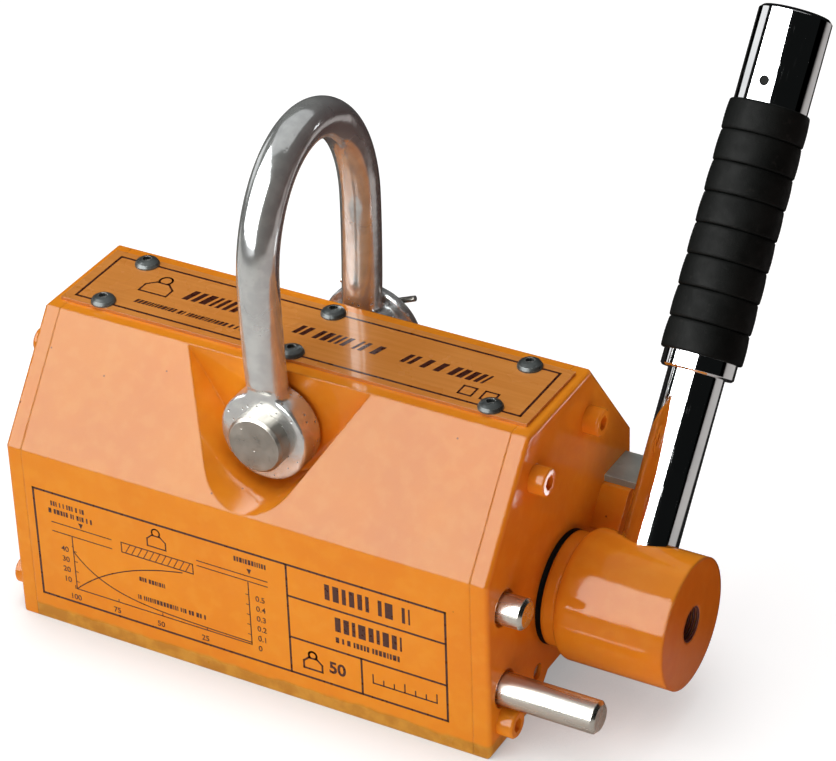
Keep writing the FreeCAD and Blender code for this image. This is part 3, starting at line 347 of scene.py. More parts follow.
def forged_chrome(name):
    """Bright plating over a forging: smooth on the bow, grainy and pitted near the eyes."""
    f = Finish(name)
    level = f.plus(f.axes["Z"], f.times(f.noise(90), FORGE_GRAIN_RAGGED))
    near_eye = f.ramp(level, FORGE_GRAIN_FROM, FORGE_GRAIN_FULL)
    colour = f.mix(f.patches(260, 0.35, 0.7, detail=4), FORGE_DARK, FORGE_LIGHT)
    pits = f.spots(spacing=1.6 * MM, radius=0.5 * MM, share=0.3)
    pits = f.times(pits, f.ramp(f.axes["Z"], FORGE_PITS_FROM, FORGE_PITS_FULL, low=0.12))
    colour = f.mix(f.times(pits, 0.6), colour, FORGE_PIT)
    rough = f.ramp(near_eye, 0, 1, low=0.13, high=0.23)
    rough = f.plus(rough, f.times(pits, 0.25))
    grain = f.times(f.noise(700), f.ramp(near_eye, 0, 1, low=0.12))
    rounded = f.soft_edges(0.5 * MM)[0]
    normal = f.bump(grain, FORGE_GRAIN_DEPTH, below=rounded)
    normal = f.bump(f.noise(120, detail=2), FORGE_WAVE_DEPTH, below=normal)
    normal = f.bump(f.times(pits, -1.0), FORGE_PIT_DEPTH, below=normal)
    plated = f.ramp(near_eye, 0, 1, low=0.72, high=0.76)
    return f.surface(Base_Color=colour, Roughness=rough, Metallic=plated, Normal=normal)


CHROME_LIGHT = srgb(240, 241, 242)
CHROME_HAZE = srgb(224, 226, 228)


def mirror_chrome(name):
    """Polished chrome with a faint haze and hairline scratches."""
    f = Finish(name)
    haze = f.patches(45, 0.4, 0.75, detail=4)
    colour = f.mix(haze, CHROME_LIGHT, CHROME_HAZE)
    scratches = f.patches(2200, 0.66, 0.72, detail=1, stretch=(1, 0.05, 0.05))
    rough = f.plus(f.ramp(haze, 0, 1, low=0.035, high=0.075), f.times(scratches, 0.12))
    rounded = f.soft_edges(0.3 * MM)[0]
    normal = f.bump(f.noise(34, detail=2), 0.05 * MM, below=rounded)
    return f.surface(Base_Color=colour, Roughness=rough, Metallic=1.0, Normal=normal)


# ---------------------------------------------------------------- black rubber and plastic

FOAM_DARK = (0.003, 0.0036, 0.0033, 1)
FOAM_LIGHT = (0.006, 0.0068, 0.0064, 1)
FOAM_DUST = (0.016, 0.016, 0.015, 1)
MOULDING_DARK = (0.010, 0.010, 0.011, 1)
MOULDING_LIGHT = (0.03, 0.03, 0.03, 1)


def black_foam(name):
    """Moulded foam rubber: fine matt grain with a little dust in it."""
    f = Finish(name)
    colour = f.mix(f.patches(130, 0.3, 0.7, detail=4), FOAM_DARK, FOAM_LIGHT)
    dust = f.patches(520, 0.6, 0.78, high=0.5, detail=4)
    colour = f.mix(dust, colour, FOAM_DUST)
    rough = f.patches(300, 0.3, 0.7, low=0.48, high=0.62)
    normal = f.bump(f.noise(2600), 0.06 * MM)
    normal = f.bump(f.noise(240), 0.10 * MM, below=normal)
    return f.surface(Base_Color=colour, Roughness=rough, Normal=normal, Specular_IOR_Level=0.06)


def black_moulding(name):
    """Hard black plastic, for the plug in the end of the tube."""
    f = Finish(name)
    colour = f.mix(f.patches(200, 0.3, 0.7), MOULDING_DARK, MOULDING_LIGHT)
    rough = f.patches(260, 0.3, 0.7, low=0.3, high=0.5)
    normal = f.bump(f.noise(900, detail=2), 0.03 * MM)
    return f.surface(Base_Color=colour, Roughness=rough, Normal=normal)


# ---------------------------------------------------------------- which node has which finish

BARE = steel("bare_steel", srgb(190, 187, 178), srgb(214, 211, 203), 0.25, grain=(0.08, 1, 1))
TURNED = steel("turned_steel", srgb(138, 134, 126), srgb(164, 160, 152), 0.33,
               grain=(1, 0.06, 1), pits=0.1)
ROLLED = steel("rolled_steel", srgb(146, 154, 150), srgb(178, 188, 182), 0.42,
               pits=0.12, metal=0.4)
OILED = steel("black_steel", srgb(58, 62, 62), srgb(82, 88, 88), 0.34,
              pits=0.04, edge=0.35 * MM, metal=0.4)
ALUMINIUM = steel("aluminium_bar", srgb(190, 192, 194), srgb(212, 214, 216), 0.34, grain=ALONG_X)
BRASS = steel("brass_bar", srgb(184, 146, 74), srgb(208, 172, 98), 0.3, grain=ALONG_X)
BRONZE = steel("bronze", srgb(150, 104, 58), srgb(182, 132, 80), 0.32, grain=ALONG_X)
MAGNET = steel("magnet", srgb(128, 130, 134), srgb(160, 162, 166), 0.3, pits=0.06)
# Dark red-brown here is painted shade: the thread in the hub's hole is orange paint, darkened as if it
# lay in shadow.
THREAD_SHADE = steel("thread_painted_shade", srgb(74, 16, 6), srgb(104, 26, 10), 0.5, metal=0.0)
HUB_PAINT = orange_paint("orange_paint_hub", edge_radius=1.6 * MM)
SCREW_PAINT = orange_paint("orange_paint_screws", edge_radius=0.4 * MM)
LABEL_INK = print_ink("label_ink", PRINT_BROWN)
PLATE_INK = print_ink("plate_ink", PRINT_DARK)
RUBBER = black_foam("black_rubber")
FORGED = forged_chrome("bright_zinc")
SLOT_FINISH = {
    "orange_paint": orange_paint("orange_paint", foot=True),
    "bare_steel": BARE,
    "chrome_plate": mirror_chrome("chrome_plate"),
    "bright_zinc": FORGED,
    "black_steel": OILED,
    "aluminium_bar": ALUMINIUM,
    "brass_bar": BRASS,
    "bronze": BRONZE,
    "magnet": MAGNET,
    "plate_brass": gold_foil("plate_brass"),
    "black_rubber": RUBBER,
    "black_plastic": black_moulding("black_plastic"),
}
NODE_FINISH = {
    "lever_hub": HUB_PAINT,
    "thrust_washer": HUB_PAINT,
    "cover_screws_drive": SCREW_PAINT,
    "cover_screws_plain": SCREW_PAINT,
    "stop_block": SCREW_PAINT,
    "shackle_pin": TURNED,
    "roll_pin": RUBBER,
    "stop_plate": ROLLED,
}


def dress_nodes():
    """Give every CAD node its procedural finish, by its own name or by its material slot."""
    for name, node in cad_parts.items():
        for number, old in enumerate(node.data.materials):
            slot_name = old.name.split(".")[0]
            node.data.materials[number] = NODE_FINISH.get(name, SLOT_FINISH.get(slot_name, BARE))


# ---------------------------------------------------------------- mesh helpers

SHARP_ANGLE = math.radians(38)


def piece(name, mesh, finish, body, smooth=True):
    """A new object that rides on a CAD body."""
    thing = bpy.data.objects.new(name, mesh)
    bpy.context.scene.collection.objects.link(thing)
    mesh.materials.clear()
    mesh.materials.append(finish)
    if smooth:
        mesh.shade_smooth()
        mesh.set_sharp_from_angle(angle=SHARP_ANGLE)
    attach(thing, body)
    return thing


def evaluated_mesh(thing):
    """The mesh of an object with its modifiers applied, or of a text object."""
    view = bpy.context.evaluated_depsgraph_get()
    return bpy.data.meshes.new_from_object(thing.evaluated_get(view))


def lathe(name, profile, line_from, line_along, sides=96):
    """A closed ring mesh: profile is (distance along the line, radius) all the way round a section."""
    side = line_along.orthogonal().normalized()
    other = line_along.cross(side)
    points, faces = [], []
    for distance, radius in profile:
        for step in range(sides):
            angle = math.tau * step / sides
            spoke = side * math.cos(angle) + other * math.sin(angle)
            points.append(line_from + line_along * distance + spoke * radius)
    rows = len(profile)
    for row in range(rows):
        following = (row + 1) % rows
        for step in range(sides):
            nearby = (step + 1) % sides
            faces.append((row * sides + step, row * sides + nearby,
                          following * sides + nearby, following * sides + step))
    mesh = bpy.data.meshes.new(name)
    mesh.from_pydata(points, [], faces)
    bm = bmesh.new()
    bm.from_mesh(mesh)
    bmesh.ops.recalc_face_normals(bm, faces=bm.faces)
    bm.to_mesh(mesh)
    bm.free()
    return mesh


# ---------------------------------------------------------------- grip

RIBS = 8
RIB_POINTS = 14
RIB_CROWN = 0.24 * MM
RIB_TAPER = 0.25 * MM
GROOVE_DEPTH = 0.75 * MM
GROOVE_SHARE = 0.05
GRIP_CLEARANCE = 0.05 * MM


def rib_radius(share):
    """Radius of one rib, 0 at its lower end and 1 at its upper end: crowned, rolled in at both ends."""
    middle = 1 - (2 * share - 1) ** 2
    lip = min(share, 1 - share) / GROOVE_SHARE
    roll = math.sqrt(max(0.0, 1 - (1 - min(1.0, lip)) ** 2))
    return GRIP_RADIUS - RIB_CROWN * (1 - middle) - GROOVE_DEPTH * (1 - roll) - RIB_TAPER * share


def grip():
    """Foam grip: eight crowned ribs with rolled edges, over the chrome tube."""
    start, end = along_lever("hand_grip")
    length = (end - start) / RIBS
    bore = TUBE_RADIUS + GRIP_CLEARANCE
    shares = [0.5 - 0.5 * math.cos(math.pi * step / RIB_POINTS) for step in range(RIB_POINTS + 1)]
    profile = [(start, bore)]
    for rib in range(RIBS):
        for share in shares:
            if rib and share == 0:
                continue
            profile.append((start + (rib + share) * length, rib_radius(share)))
    profile.append((end, bore))
    mesh = lathe("grip_ribs", profile, LEVER_FOOT, LEVER_LINE)
    thing = piece("grip_ribs", mesh, RUBBER, "handle_rotor")
    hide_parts("hand_grip")


# ---------------------------------------------------------------- shackle forging

# The shackle's own sizes: its round bar, the height where the half ellipse stands on the legs,
# and half the distance between the legs at the pin.
BAR_RADIUS = 6.1 * MM
SHOULDER_Z = 127 * MM
FOOT_HALF = 25.6 * MM
CROWN_STEPS = 1600
LEG_STEPS = 700
TRUE_BAR_FROM = 15 * MM
TRUE_BAR_FULL = 22 * MM
FORGE_WELD = 0.002 * MM
FORGE_VOXEL = 0.55 * MM
FORGE_SMOOTHING = 9
FORGE_SMOOTHING_SHARE = 0.6


def bow_line():
    """Centre line of the bar: half an ellipse over two legs that lean in on a long arc."""
    middle = (BOW_LOW.y + BOW_HIGH.y) / 2
    half = (BOW_HIGH.y - BOW_LOW.y) / 2 - BAR_RADIUS
    rise = BOW_HIGH.z - BAR_RADIUS - SHOULDER_Z
    drop = SHOULDER_Z - PIN_Z
    inset = half - FOOT_HALF
    bend = (drop ** 2 + inset ** 2) / (2 * inset)
    points = []
    for step in range(CROWN_STEPS + 1):
        angle = math.pi * step / CROWN_STEPS
        aside, up = half * math.cos(angle), rise * math.sin(angle)
        points.append(Vector((0, middle + aside, SHOULDER_Z + up)))
    for step in range(1, LEG_STEPS + 1):
        down = drop * step / LEG_STEPS
        aside = half - bend + math.sqrt(bend ** 2 - down ** 2)
        for side in (1, -1):
            points.append(Vector((0, middle + side * aside, SHOULDER_Z - down)))
    return points


def true_bar(mesh):
    """Bring the bar of the remeshed shackle back to its round section, fading out towards the eyes."""
    line = bow_line()
    tree = KDTree(len(line))
    for number, point in enumerate(line):
        tree.insert(point, number)
    tree.balance()
    for vertex in mesh.vertices:
        above = vertex.co.z - PIN_Z
        share = min(1.0, max(0.0, (above - TRUE_BAR_FROM) / (TRUE_BAR_FULL - TRUE_BAR_FROM)))
        if share:
            centre = tree.find(vertex.co)[0]
            round_place = centre + (vertex.co - centre).normalized() * BAR_RADIUS
            vertex.co = vertex.co.lerp(round_place, share)


def forged_shackle():
    """The shackle with the soft transitions of a forging between its legs and its eyes."""
    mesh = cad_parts["shackle"].data.copy()
    if mesh.has_custom_normals:
        mesh.attributes.remove(mesh.attributes["custom_normal"])
    rough = bpy.data.objects.new("shackle_rough", mesh)
    bpy.context.scene.collection.objects.link(rough)
    weld = rough.modifiers.new("weld", "WELD")
    weld.merge_threshold = FORGE_WELD
    remesh = rough.modifiers.new("even", "REMESH")
    remesh.mode = "VOXEL"
    remesh.voxel_size = FORGE_VOXEL
    remesh.use_smooth_shade = True
    relax = rough.modifiers.new("relax", "SMOOTH")
    relax.factor = FORGE_SMOOTHING_SHARE
    relax.iterations = FORGE_SMOOTHING
    made = evaluated_mesh(rough)
    bpy.data.objects.remove(rough)
    made.name = "shackle_forging"
    true_bar(made)
    shown = piece("shackle_forging", made, FORGED, "shackle_set")
    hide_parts("shackle")


# ---------------------------------------------------------------- threaded mouth of the hub

THREAD_PITCH = 1.25 * MM
THREAD_HEIGHT = 0.55 * MM
THREAD_SIDES = 64
MOUTH_RADIUS = 5.5 * MM
MOUTH_DEPTH = 8.0 * MM
MOUTH_CHAMFER = 0.05 * MM
SLEEVE_WALL = 0.02 * MM


def hub_thread():
    """Painted-over thread turns inside the open end of the hub, coloured dark red-brown as painted
    shade deep in the hole.
    """
    turns = int(MOUTH_DEPTH / THREAD_PITCH)
    start = HUB_HIGH.x - turns * THREAD_PITCH
    profile = [(start, MOUTH_RADIUS)]
    for number in range(turns):
        root = start + number * THREAD_PITCH
        profile.append((root + THREAD_PITCH * 0.1, MOUTH_RADIUS))
        profile.append((root + THREAD_PITCH * 0.5, MOUTH_RADIUS - THREAD_HEIGHT))
        profile.append((root + THREAD_PITCH * 0.9, MOUTH_RADIUS))
    back = MOUTH_RADIUS + SLEEVE_WALL
    profile += [(HUB_HIGH.x - MOUTH_CHAMFER, back), (start, back)]
    mesh = lathe("hub_thread", profile, Vector((0, 0, AXIS_Z)), Vector((1, 0, 0)), THREAD_SIDES)
    piece("hub_thread", mesh, THREAD_SHADE, "handle_rotor")


# ---------------------------------------------------------------- printing

INK_HEIGHT = 0.05 * MM
INK_SOLE = 0.1
FONT_SIZE = 1.42
BAR_WIDTH = 0.6
SHORTEST_BAR = 0.2
BAR_GAPS = (0.2, 0.2, 0.2, 0.2, 0.55)


class Print:
    """Flat ink on a plane: strips, blocks and figures gathered into one mesh.

    Places and widths are in millimetres, across and up from the origin of the plane.
    """

    def __init__(self, origin, right, up):
        self.origin = Vector(origin)
        self.right = Vector(right)
        self.up = Vector(up)
        self.out = self.right.cross(self.up)
        self.points = []
        self.faces = []

    def spot(self, across, high, lift):
        return self.origin + (self.right * across + self.up * high) * MM + self.out * lift

    def shape(self, corners):
        """A filled outline of (across, high) corners, counter-clockwise, closed underneath."""
        first = len(self.points)
        count = len(corners)
        for lift in (INK_HEIGHT, INK_HEIGHT * INK_SOLE):
            for across, high in corners:
                self.points.append(self.spot(across, high, lift))
        self.faces.append([first + step for step in range(count)])
        self.faces.append([first + 2 * count - 1 - step for step in range(count)])
        for step in range(count):
            nearby = (step + 1) % count
            self.faces.append([first + nearby, first + step, first + count + step,
                               first + count + nearby])

    def line(self, start, end, width):
        across, high = end[0] - start[0], end[1] - start[1]
        length = math.hypot(across, high)
        along = (across / length * width / 2, high / length * width / 2)
        side = (-along[1], along[0])
        self.shape([
            (start[0] - along[0] - side[0], start[1] - along[1] - side[1]),
            (end[0] + along[0] - side[0], end[1] + along[1] - side[1]),
            (end[0] + along[0] + side[0], end[1] + along[1] + side[1]),
            (start[0] - along[0] + side[0], start[1] - along[1] + side[1]),
        ])

    def path(self, points, width, closed=False):
        for start, end in zip(points, points[1:]):
            self.line(start, end, width)
        if closed:
            self.line(points[-1], points[0], width)

    def frame(self, left, low, right, high, width):
        self.path([(left, low), (right, low), (right, high), (left, high)], width, closed=True)

    def bars(self, left, low, right, high, slant=0.0, widest=1.0):
        """A row of plain upright bars of mixed widths, in the place of a line of words."""
        across = left
        tall = high - low
        lean = slant * tall
        while across < right - SHORTEST_BAR:
            wide = min(random.uniform(0.3, widest) * tall * BAR_WIDTH, right - across)
            self.shape([(across, low), (across + wide, low), (across + wide + lean, low + tall),
                        (across + lean, low + tall)])
            across += wide + tall * random.choice(BAR_GAPS)

    def arc(self, centre, radius, start, end, width, steps=20):
        points = []
        for step in range(steps + 1):
            angle = math.radians(start + (end - start) * step / steps)
            points.append((centre[0] + radius * math.cos(angle), centre[1] + radius * math.sin(angle)))
        self.path(points, width)

    def magnet(self, centre, size, width):
        """Pictogram of a lifting magnet: a block with sloped shoulders and a ring."""
        across, high = centre
        half = size / 2
        self.path([
            (across - half, high - half * 0.9),
            (across + half, high - half * 0.9),
            (across + half, high - half * 0.1),
            (across + half * 0.45, high + half * 0.4),
            (across - half * 0.45, high + half * 0.4),
            (across - half, high - half * 0.1),
        ], width, closed=True)
        self.arc((across, high + half * 0.75), half * 0.42, -50, 230, width)

    def figures(self, text, left, low, height, bold=0.03):
        """Plain scale figures, turned into a mesh and laid on the plane."""
        curve = bpy.data.curves.new("figures", "FONT")
        curve.body = text
        curve.size = height * FONT_SIZE
        curve.extrude = INK_HEIGHT / MM * (1 - INK_SOLE) / 2
        curve.offset = bold
        thing = bpy.data.objects.new("figures", curve)
        bpy.context.scene.collection.objects.link(thing)
        bpy.context.view_layer.update()
        mesh = evaluated_mesh(thing)
        first = len(self.points)
        for vertex in mesh.vertices:
            lift = INK_HEIGHT * (1 + INK_SOLE) / 2 + vertex.co.z * MM
            self.points.append(self.spot(left + vertex.co.x, low + vertex.co.y, lift))
        for polygon in mesh.polygons:
            self.faces.append([first + corner for corner in polygon.vertices])
        bpy.data.objects.remove(thing)
        bpy.data.meshes.remove(mesh)

    def finish(self, name, ink, body, slot_name):
        mesh = bpy.data.meshes.new(name)
        mesh.from_pydata(self.points, [], self.faces)
        piece(name, mesh, ink, body, smooth=False)


def curve_points(start, end, height, steps=28):
    """Points of a curve given by a formula, evenly spaced across."""
    points = []
    for step in range(steps + 1):
        across = start + (end - start) * step / steps
        points.append((across, height(across)))
    return points


# ---------------------------------------------------------------- front label

# Line widths.
BORDER = 0.7
TABLE_LINE = 0.65
CHART_LINE = 0.34
RULE = 0.3
HATCH = 0.26
TICK = 0.25
RULER_LINE = 0.45
RULER_TICK = 0.4

# Places. A row of words or a box is (left, low, right, high).
LABEL_LEFT, LABEL_RIGHT = -72.5, 67.4
LABEL_LOW, LABEL_HIGH = 9.3, 47.8
TABLE_LEFT, TABLE_SPLIT = 15.3, 39.3
TABLE_UPPER, TABLE_LOWER = 36.8, 22.1
RATING_WORDS = ((28, 39.6, 56, 45.0), (31, 29.2, 53, 34.2))
NOTE_WORDS = (31, 25.2, 52.5, 27.1)
RULER_LEFT, RULER_RIGHT, RULER_LOW = 43, 64, 14.6
RULER_STEPS, RULER_TALL_EVERY = 6, 3
RULER_SHORT, RULER_TALL = 1.8, 3.0
TABLE_MAGNET, TABLE_FIGURE = (22.8, 15.2), (28.2, 13.5)

CHART_LEFT, CHART_RIGHT, CHART_LOW = -59.8, 2.0, 14.6
LEFT_AXIS_HIGH, RIGHT_AXIS_HIGH = 33.5, 37
FALL_LOW, FALL_DROP, FALL_REACH = 15.3, 13, 11
RISE_END, RISE_HEIGHT, RISE_REACH = -21, 23, 24
TICK_LENGTH = 1.0
FIGURE_HEIGHT = 1.9
FOOT_FIGURES_LEFT, FOOT_FIGURES_LOW, FOOT_FIGURES_GAP = -62.5, 10.5, 15.6
FOOT_TICK_ASIDE = 2.2
RULES = ((-66.7, -45.6, 37.2), (-66.7, -45.6, 33.9), (-15.4, 8.6, 39.3), (-15.4, 8.6, 37.5))
LOAD_PLATE = (-42, 33.9, -17, 37.4)
HATCHES, HATCH_LEFT, HATCH_GAP, HATCH_LEAN = 11, -40.6, 2.1, 1.7
HATCH_LOW, HATCH_HIGH = 34.1, 37.2
CHART_WORDS = (
    (-66.5, 43.2, -54.5, 44.9),
    (-67.5, 40.4, -51.5, 42.1),
    (-2.4, 43.5, 8.4, 45.2),
    (-36.5, 25.2, -27.5, 26.7),
    (-37.5, 18.3, -13.5, 19.9),
)
SKETCH_MAGNET = (-29.3, 42.2)
ARROWS = ((-56.2, 38.6), (2.6, 41.0))
ARROW_HALF_HEIGHT, ARROW_HALF_WIDTH = 0.9, 0.8


def fall(across):
    """Height of the falling curve of the chart."""
    return FALL_LOW + FALL_DROP * math.exp((CHART_LEFT - across) / FALL_REACH)


def rise(across):
    """Height of the rising curve of the chart."""
    return CHART_LOW + RISE_HEIGHT * (1 - math.exp((CHART_LEFT - across) / RISE_REACH))


def upright_scale(p, texts, left, low, gap, tick_left, tick_up):
    """Figures one above another, each with a short tick beside it."""
    for step, text in enumerate(texts):
        high = low + gap * step
        p.figures(text, left, high, FIGURE_HEIGHT)
        p.line((tick_left, high + tick_up), (tick_left + TICK_LENGTH, high + tick_up), TICK)


def chart(p):
    """Two curves over a scale."""
    p.path([(CHART_LEFT, LEFT_AXIS_HIGH), (CHART_LEFT, CHART_LOW),
            (CHART_RIGHT, CHART_LOW), (CHART_RIGHT, RIGHT_AXIS_HIGH)], CHART_LINE)
    p.path(curve_points(CHART_LEFT, CHART_RIGHT, fall), CHART_LINE)
    p.path(curve_points(CHART_LEFT, RISE_END, rise), CHART_LINE)
    upright_scale(p, ("10", "20", "30", "40"), left=-64.2, low=16.4, gap=3.7,
                  tick_left=CHART_LEFT, tick_up=0.9)
    upright_scale(p, ("0", "0.1", "0.2", "0.3", "0.4", "0.5"), left=4.2, low=13.1, gap=3.6,
                  tick_left=CHART_RIGHT - TICK_LENGTH, tick_up=1.5)
    for step, text in enumerate(("100", "75", "50", "25")):
        left = FOOT_FIGURES_LEFT + FOOT_FIGURES_GAP * step
        tick = left + FOOT_TICK_ASIDE
        p.figures(text, left, FOOT_FIGURES_LOW, FIGURE_HEIGHT)
        p.line((tick, CHART_LOW), (tick, CHART_LOW + TICK_LENGTH), TICK)


def contact_sketch(p):
    """Above the chart: rules, a magnet over a hatched plate, rows of bars and two arrow heads."""
    for left, right, high in RULES:
        p.line((left, high), (right, high), RULE)
    p.frame(*LOAD_PLATE, CHART_LINE)
    for step in range(HATCHES):
        across = HATCH_LEFT + HATCH_GAP * step
        p.line((across, HATCH_LOW), (across + HATCH_LEAN, HATCH_HIGH), HATCH)
    p.magnet(SKETCH_MAGNET, size=6.4, width=0.42)
    for row in CHART_WORDS:
        p.bars(*row)
    for across, high in ARROWS:
        p.shape([(across, high - ARROW_HALF_HEIGHT),
                 (across + ARROW_HALF_WIDTH, high + ARROW_HALF_HEIGHT),
                 (across - ARROW_HALF_WIDTH, high + ARROW_HALF_HEIGHT)])


def rating_table(p):
    """Right part of the label: three rows of bars, a magnet sign with a figure, and a plain ruler."""
    p.line((TABLE_LEFT, LABEL_LOW), (TABLE_LEFT, LABEL_HIGH), TABLE_LINE)
    p.line((TABLE_LEFT, TABLE_UPPER), (LABEL_RIGHT, TABLE_UPPER), TABLE_LINE)
    p.line((TABLE_LEFT, TABLE_LOWER), (LABEL_RIGHT, TABLE_LOWER), TABLE_LINE)
    p.line((TABLE_SPLIT, LABEL_LOW), (TABLE_SPLIT, TABLE_LOWER), TABLE_LINE)
    for row in RATING_WORDS:
        p.bars(*row, widest=0.8)
    p.bars(*NOTE_WORDS)
    p.magnet(TABLE_MAGNET, size=6.2, width=0.6)
    p.figures("50", *TABLE_FIGURE, height=4.0, bold=0.16)
    p.line((RULER_LEFT, RULER_LOW), (RULER_RIGHT, RULER_LOW), RULER_LINE)
    for step in range(RULER_STEPS + 1):
        across = RULER_LEFT + (RULER_RIGHT - RULER_LEFT) * step / RULER_STEPS
        tall = RULER_TALL if step % RULER_TALL_EVERY == 0 else RULER_SHORT
        p.line((across, RULER_LOW), (across, RULER_LOW + tall), RULER_TICK)


def front_label():
    p = Print((0, FRONT, 0), (1, 0, 0), (0, 0, 1))
    p.frame(LABEL_LEFT, LABEL_LOW, LABEL_RIGHT, LABEL_HIGH, BORDER)
    chart(p)
    contact_sketch(p)
    rating_table(p)
    p.finish("front_print", LABEL_INK, "housing", "orange_paint")


# ---------------------------------------------------------------- name plate

PLATE_FRAME = (-74.5, -12.4, 74.5, 12.4)
PLATE_BORDER = 0.75
PLATE_SIGN = 0.6
PLATE_SLANT = 0.3
PLATE_MAGNET = (-54.5, 2.6)
PLATE_WORDS = (
    ((-45, -0.4, -17, 5.2), 0.7),
    ((-57, -8.2, -14, -6.2), 0.9),
    ((-6, -2.2, 24, 2.6), 0.7),
    ((30, -2.2, 57, 2.6), 0.7),
)
PLATE_BOXES = ((53, -9.4, 57.2, -5.2), (60, -9.4, 64.2, -5.2))


def plate_print():
    """Border line, magnet sign, rows of slanted bars and two empty boxes on the name plate."""
    p = Print((0, 0, PLATE_TOP), (1, 0, 0), (0, 1, 0))
    p.frame(*PLATE_FRAME, PLATE_BORDER)
    p.magnet(PLATE_MAGNET, size=9.5, width=PLATE_SIGN)
    for row, widest in PLATE_WORDS:
        p.bars(*row, slant=PLATE_SLANT, widest=widest)
    for box in PLATE_BOXES:
        p.frame(*box, PLATE_SIGN)
    p.finish("plate_print", PLATE_INK, "housing", "plate_brass")


# ---------------------------------------------------------------- floor

WHITE = (1, 1, 1, 1)
BLACK = (0, 0, 0, 1)
FLOOR_REACH = 30.0
FLOOR_DROP = 0.05 * MM
FLOOR_DARK = (0.80, 0.80, 0.80, 1)
FLOOR_LIGHT = (0.86, 0.86, 0.86, 1)
FLOOR_SEEN = (0.48, 0.49, 0.50, 1)
FLOOR_WARM = (0.82, 0.43, 0.42, 1)
FLOOR_GLOW = 0.76
FLOOR_MIRRORED = 0.95
BOUNCE = 0.62
CONTACT_REACH = 0.03
CONTACT_DARK = 0.6
CONTACT_SAMPLES = 8
BACK_MIRRORED = 0.10

# Where the floor changes, in metres: from the first place, where it starts, to the second.
FLOOR_WHITE = (0.5, 1.6)
FLOOR_FADE = (0.90, 0.50)
SHADE_BACK = (0.05, 0.0)
SHADE_RIGHT = (0.16, 0.19)
WARM_RIGHT = (0.085, 0.14)
BOUNCE_FRONT = (0.02, -0.12)


def floor():
    """Large pale floor, faintly mottled.

    The camera sees it white with a soft contact shadow. Mirrored in the object it is dark outwards and
    behind the object, and its light on the object is warm on the right and stronger in front.
    """
    f = Finish("studio_floor")
    path = f.make("ShaderNodeLightPath").outputs
    away = f.make("ShaderNodeVectorMath", {0: f.point}, operation="LENGTH").outputs["Value"]
    before_block = f.ramp(f.axes["Y"], *SHADE_BACK, low=BACK_MIRRORED)
    lit = f.maths("MAXIMUM", before_block, f.ramp(f.axes["X"], *SHADE_RIGHT))
    nearness = f.times(f.ramp(away, *FLOOR_FADE), lit)
    unlit = f.ramp(nearness, 0, 1, low=1.0, high=1 - FLOOR_MIRRORED)
    colour = f.mix(f.patches(3, 0.3, 0.7, detail=4), FLOOR_DARK, FLOOR_LIGHT)
    colour = f.mix(f.times(path["Is Glossy Ray"], unlit), colour, BLACK)
    colour = f.mix(path["Is Camera Ray"], colour, FLOOR_SEEN)
    warm = f.times(path["Is Diffuse Ray"], f.ramp(f.axes["X"], *WARM_RIGHT))
    colour = f.mix(warm, colour, FLOOR_WARM)
    shine = f.mix(warm, WHITE, FLOOR_WARM)
    occlusion = {"Distance": CONTACT_REACH}
    open_air = f.make("ShaderNodeAmbientOcclusion", occlusion, samples=CONTACT_SAMPLES).outputs["AO"]
    contact = f.ramp(open_air, 0.15, 1.0, low=1 - CONTACT_DARK)
    outwards = f.ramp(away, *FLOOR_WHITE, low=FLOOR_GLOW)
    glow = f.times(f.times(path["Is Camera Ray"], outwards), contact)
    front = f.ramp(f.axes["Y"], *BOUNCE_FRONT)
    bounce = f.times(f.times(path["Is Diffuse Ray"], front), BOUNCE)
    rough = f.patches(60, 0.3, 0.7, low=0.7, high=0.9)
    f.surface(Base_Color=colour, Roughness=rough, Emission_Color=shine,
              Emission_Strength=f.plus(glow, bounce), Specular_IOR_Level=0.0)
    mesh = bpy.data.meshes.new("studio_floor")
    r = FLOOR_REACH
    mesh.from_pydata([(-r, -r, 0), (r, -r, 0), (r, r, 0), (-r, r, 0)], [], [(0, 1, 2, 3)])
    mesh.materials.append(f.material)
    thing = bpy.data.objects.new("studio_floor", mesh)
    thing.location.z = CAD_BOX[0].z - FLOOR_DROP
    bpy.context.scene.collection.objects.link(thing)


# ---------------------------------------------------------------- lights and surroundings

TARGET = Vector((0.03, 0.0, 0.06))
NEUTRAL = (1.0, 1.0, 1.0)
WARM = (1.0, 0.48, 0.46)
COOL = (1.0, 1.12, 1.0)
KEY_PLACE = TARGET + Vector((-0.4226, -0.7238, 0.5454)) * 0.85
KEY_SIZE = (1.30, 0.95)
ROOM_COLOUR = (1.0, 0.66, 0.58, 1)
ROOM_STRENGTH = 0.11
MIRRORED_ROOM_COLOUR = (0.9, 1.0, 1.0, 1)
MIRRORED_ROOM_STRENGTH = 0.006


def soft_light(name, place, size, radiance, colour=NEUTRAL, mirrored=False, lighting=False):
    """A rectangular softbox aimed at the object; it shows in mirrored light or in diffuse light."""
    light = bpy.data.lights.new(name, "AREA")
    light.shape = "RECTANGLE"
    light.size, light.size_y = size
    light.energy = radiance * math.pi * size[0] * size[1]
    light.color = colour
    thing = bpy.data.objects.new(name, light)
    thing.location = place
    thing.rotation_mode = "QUATERNION"
    thing.rotation_quaternion = (TARGET - Vector(place)).to_track_quat("-Z", "Y")
    thing.visible_glossy = mirrored
    thing.visible_diffuse = lighting
    bpy.context.scene.collection.objects.link(thing)


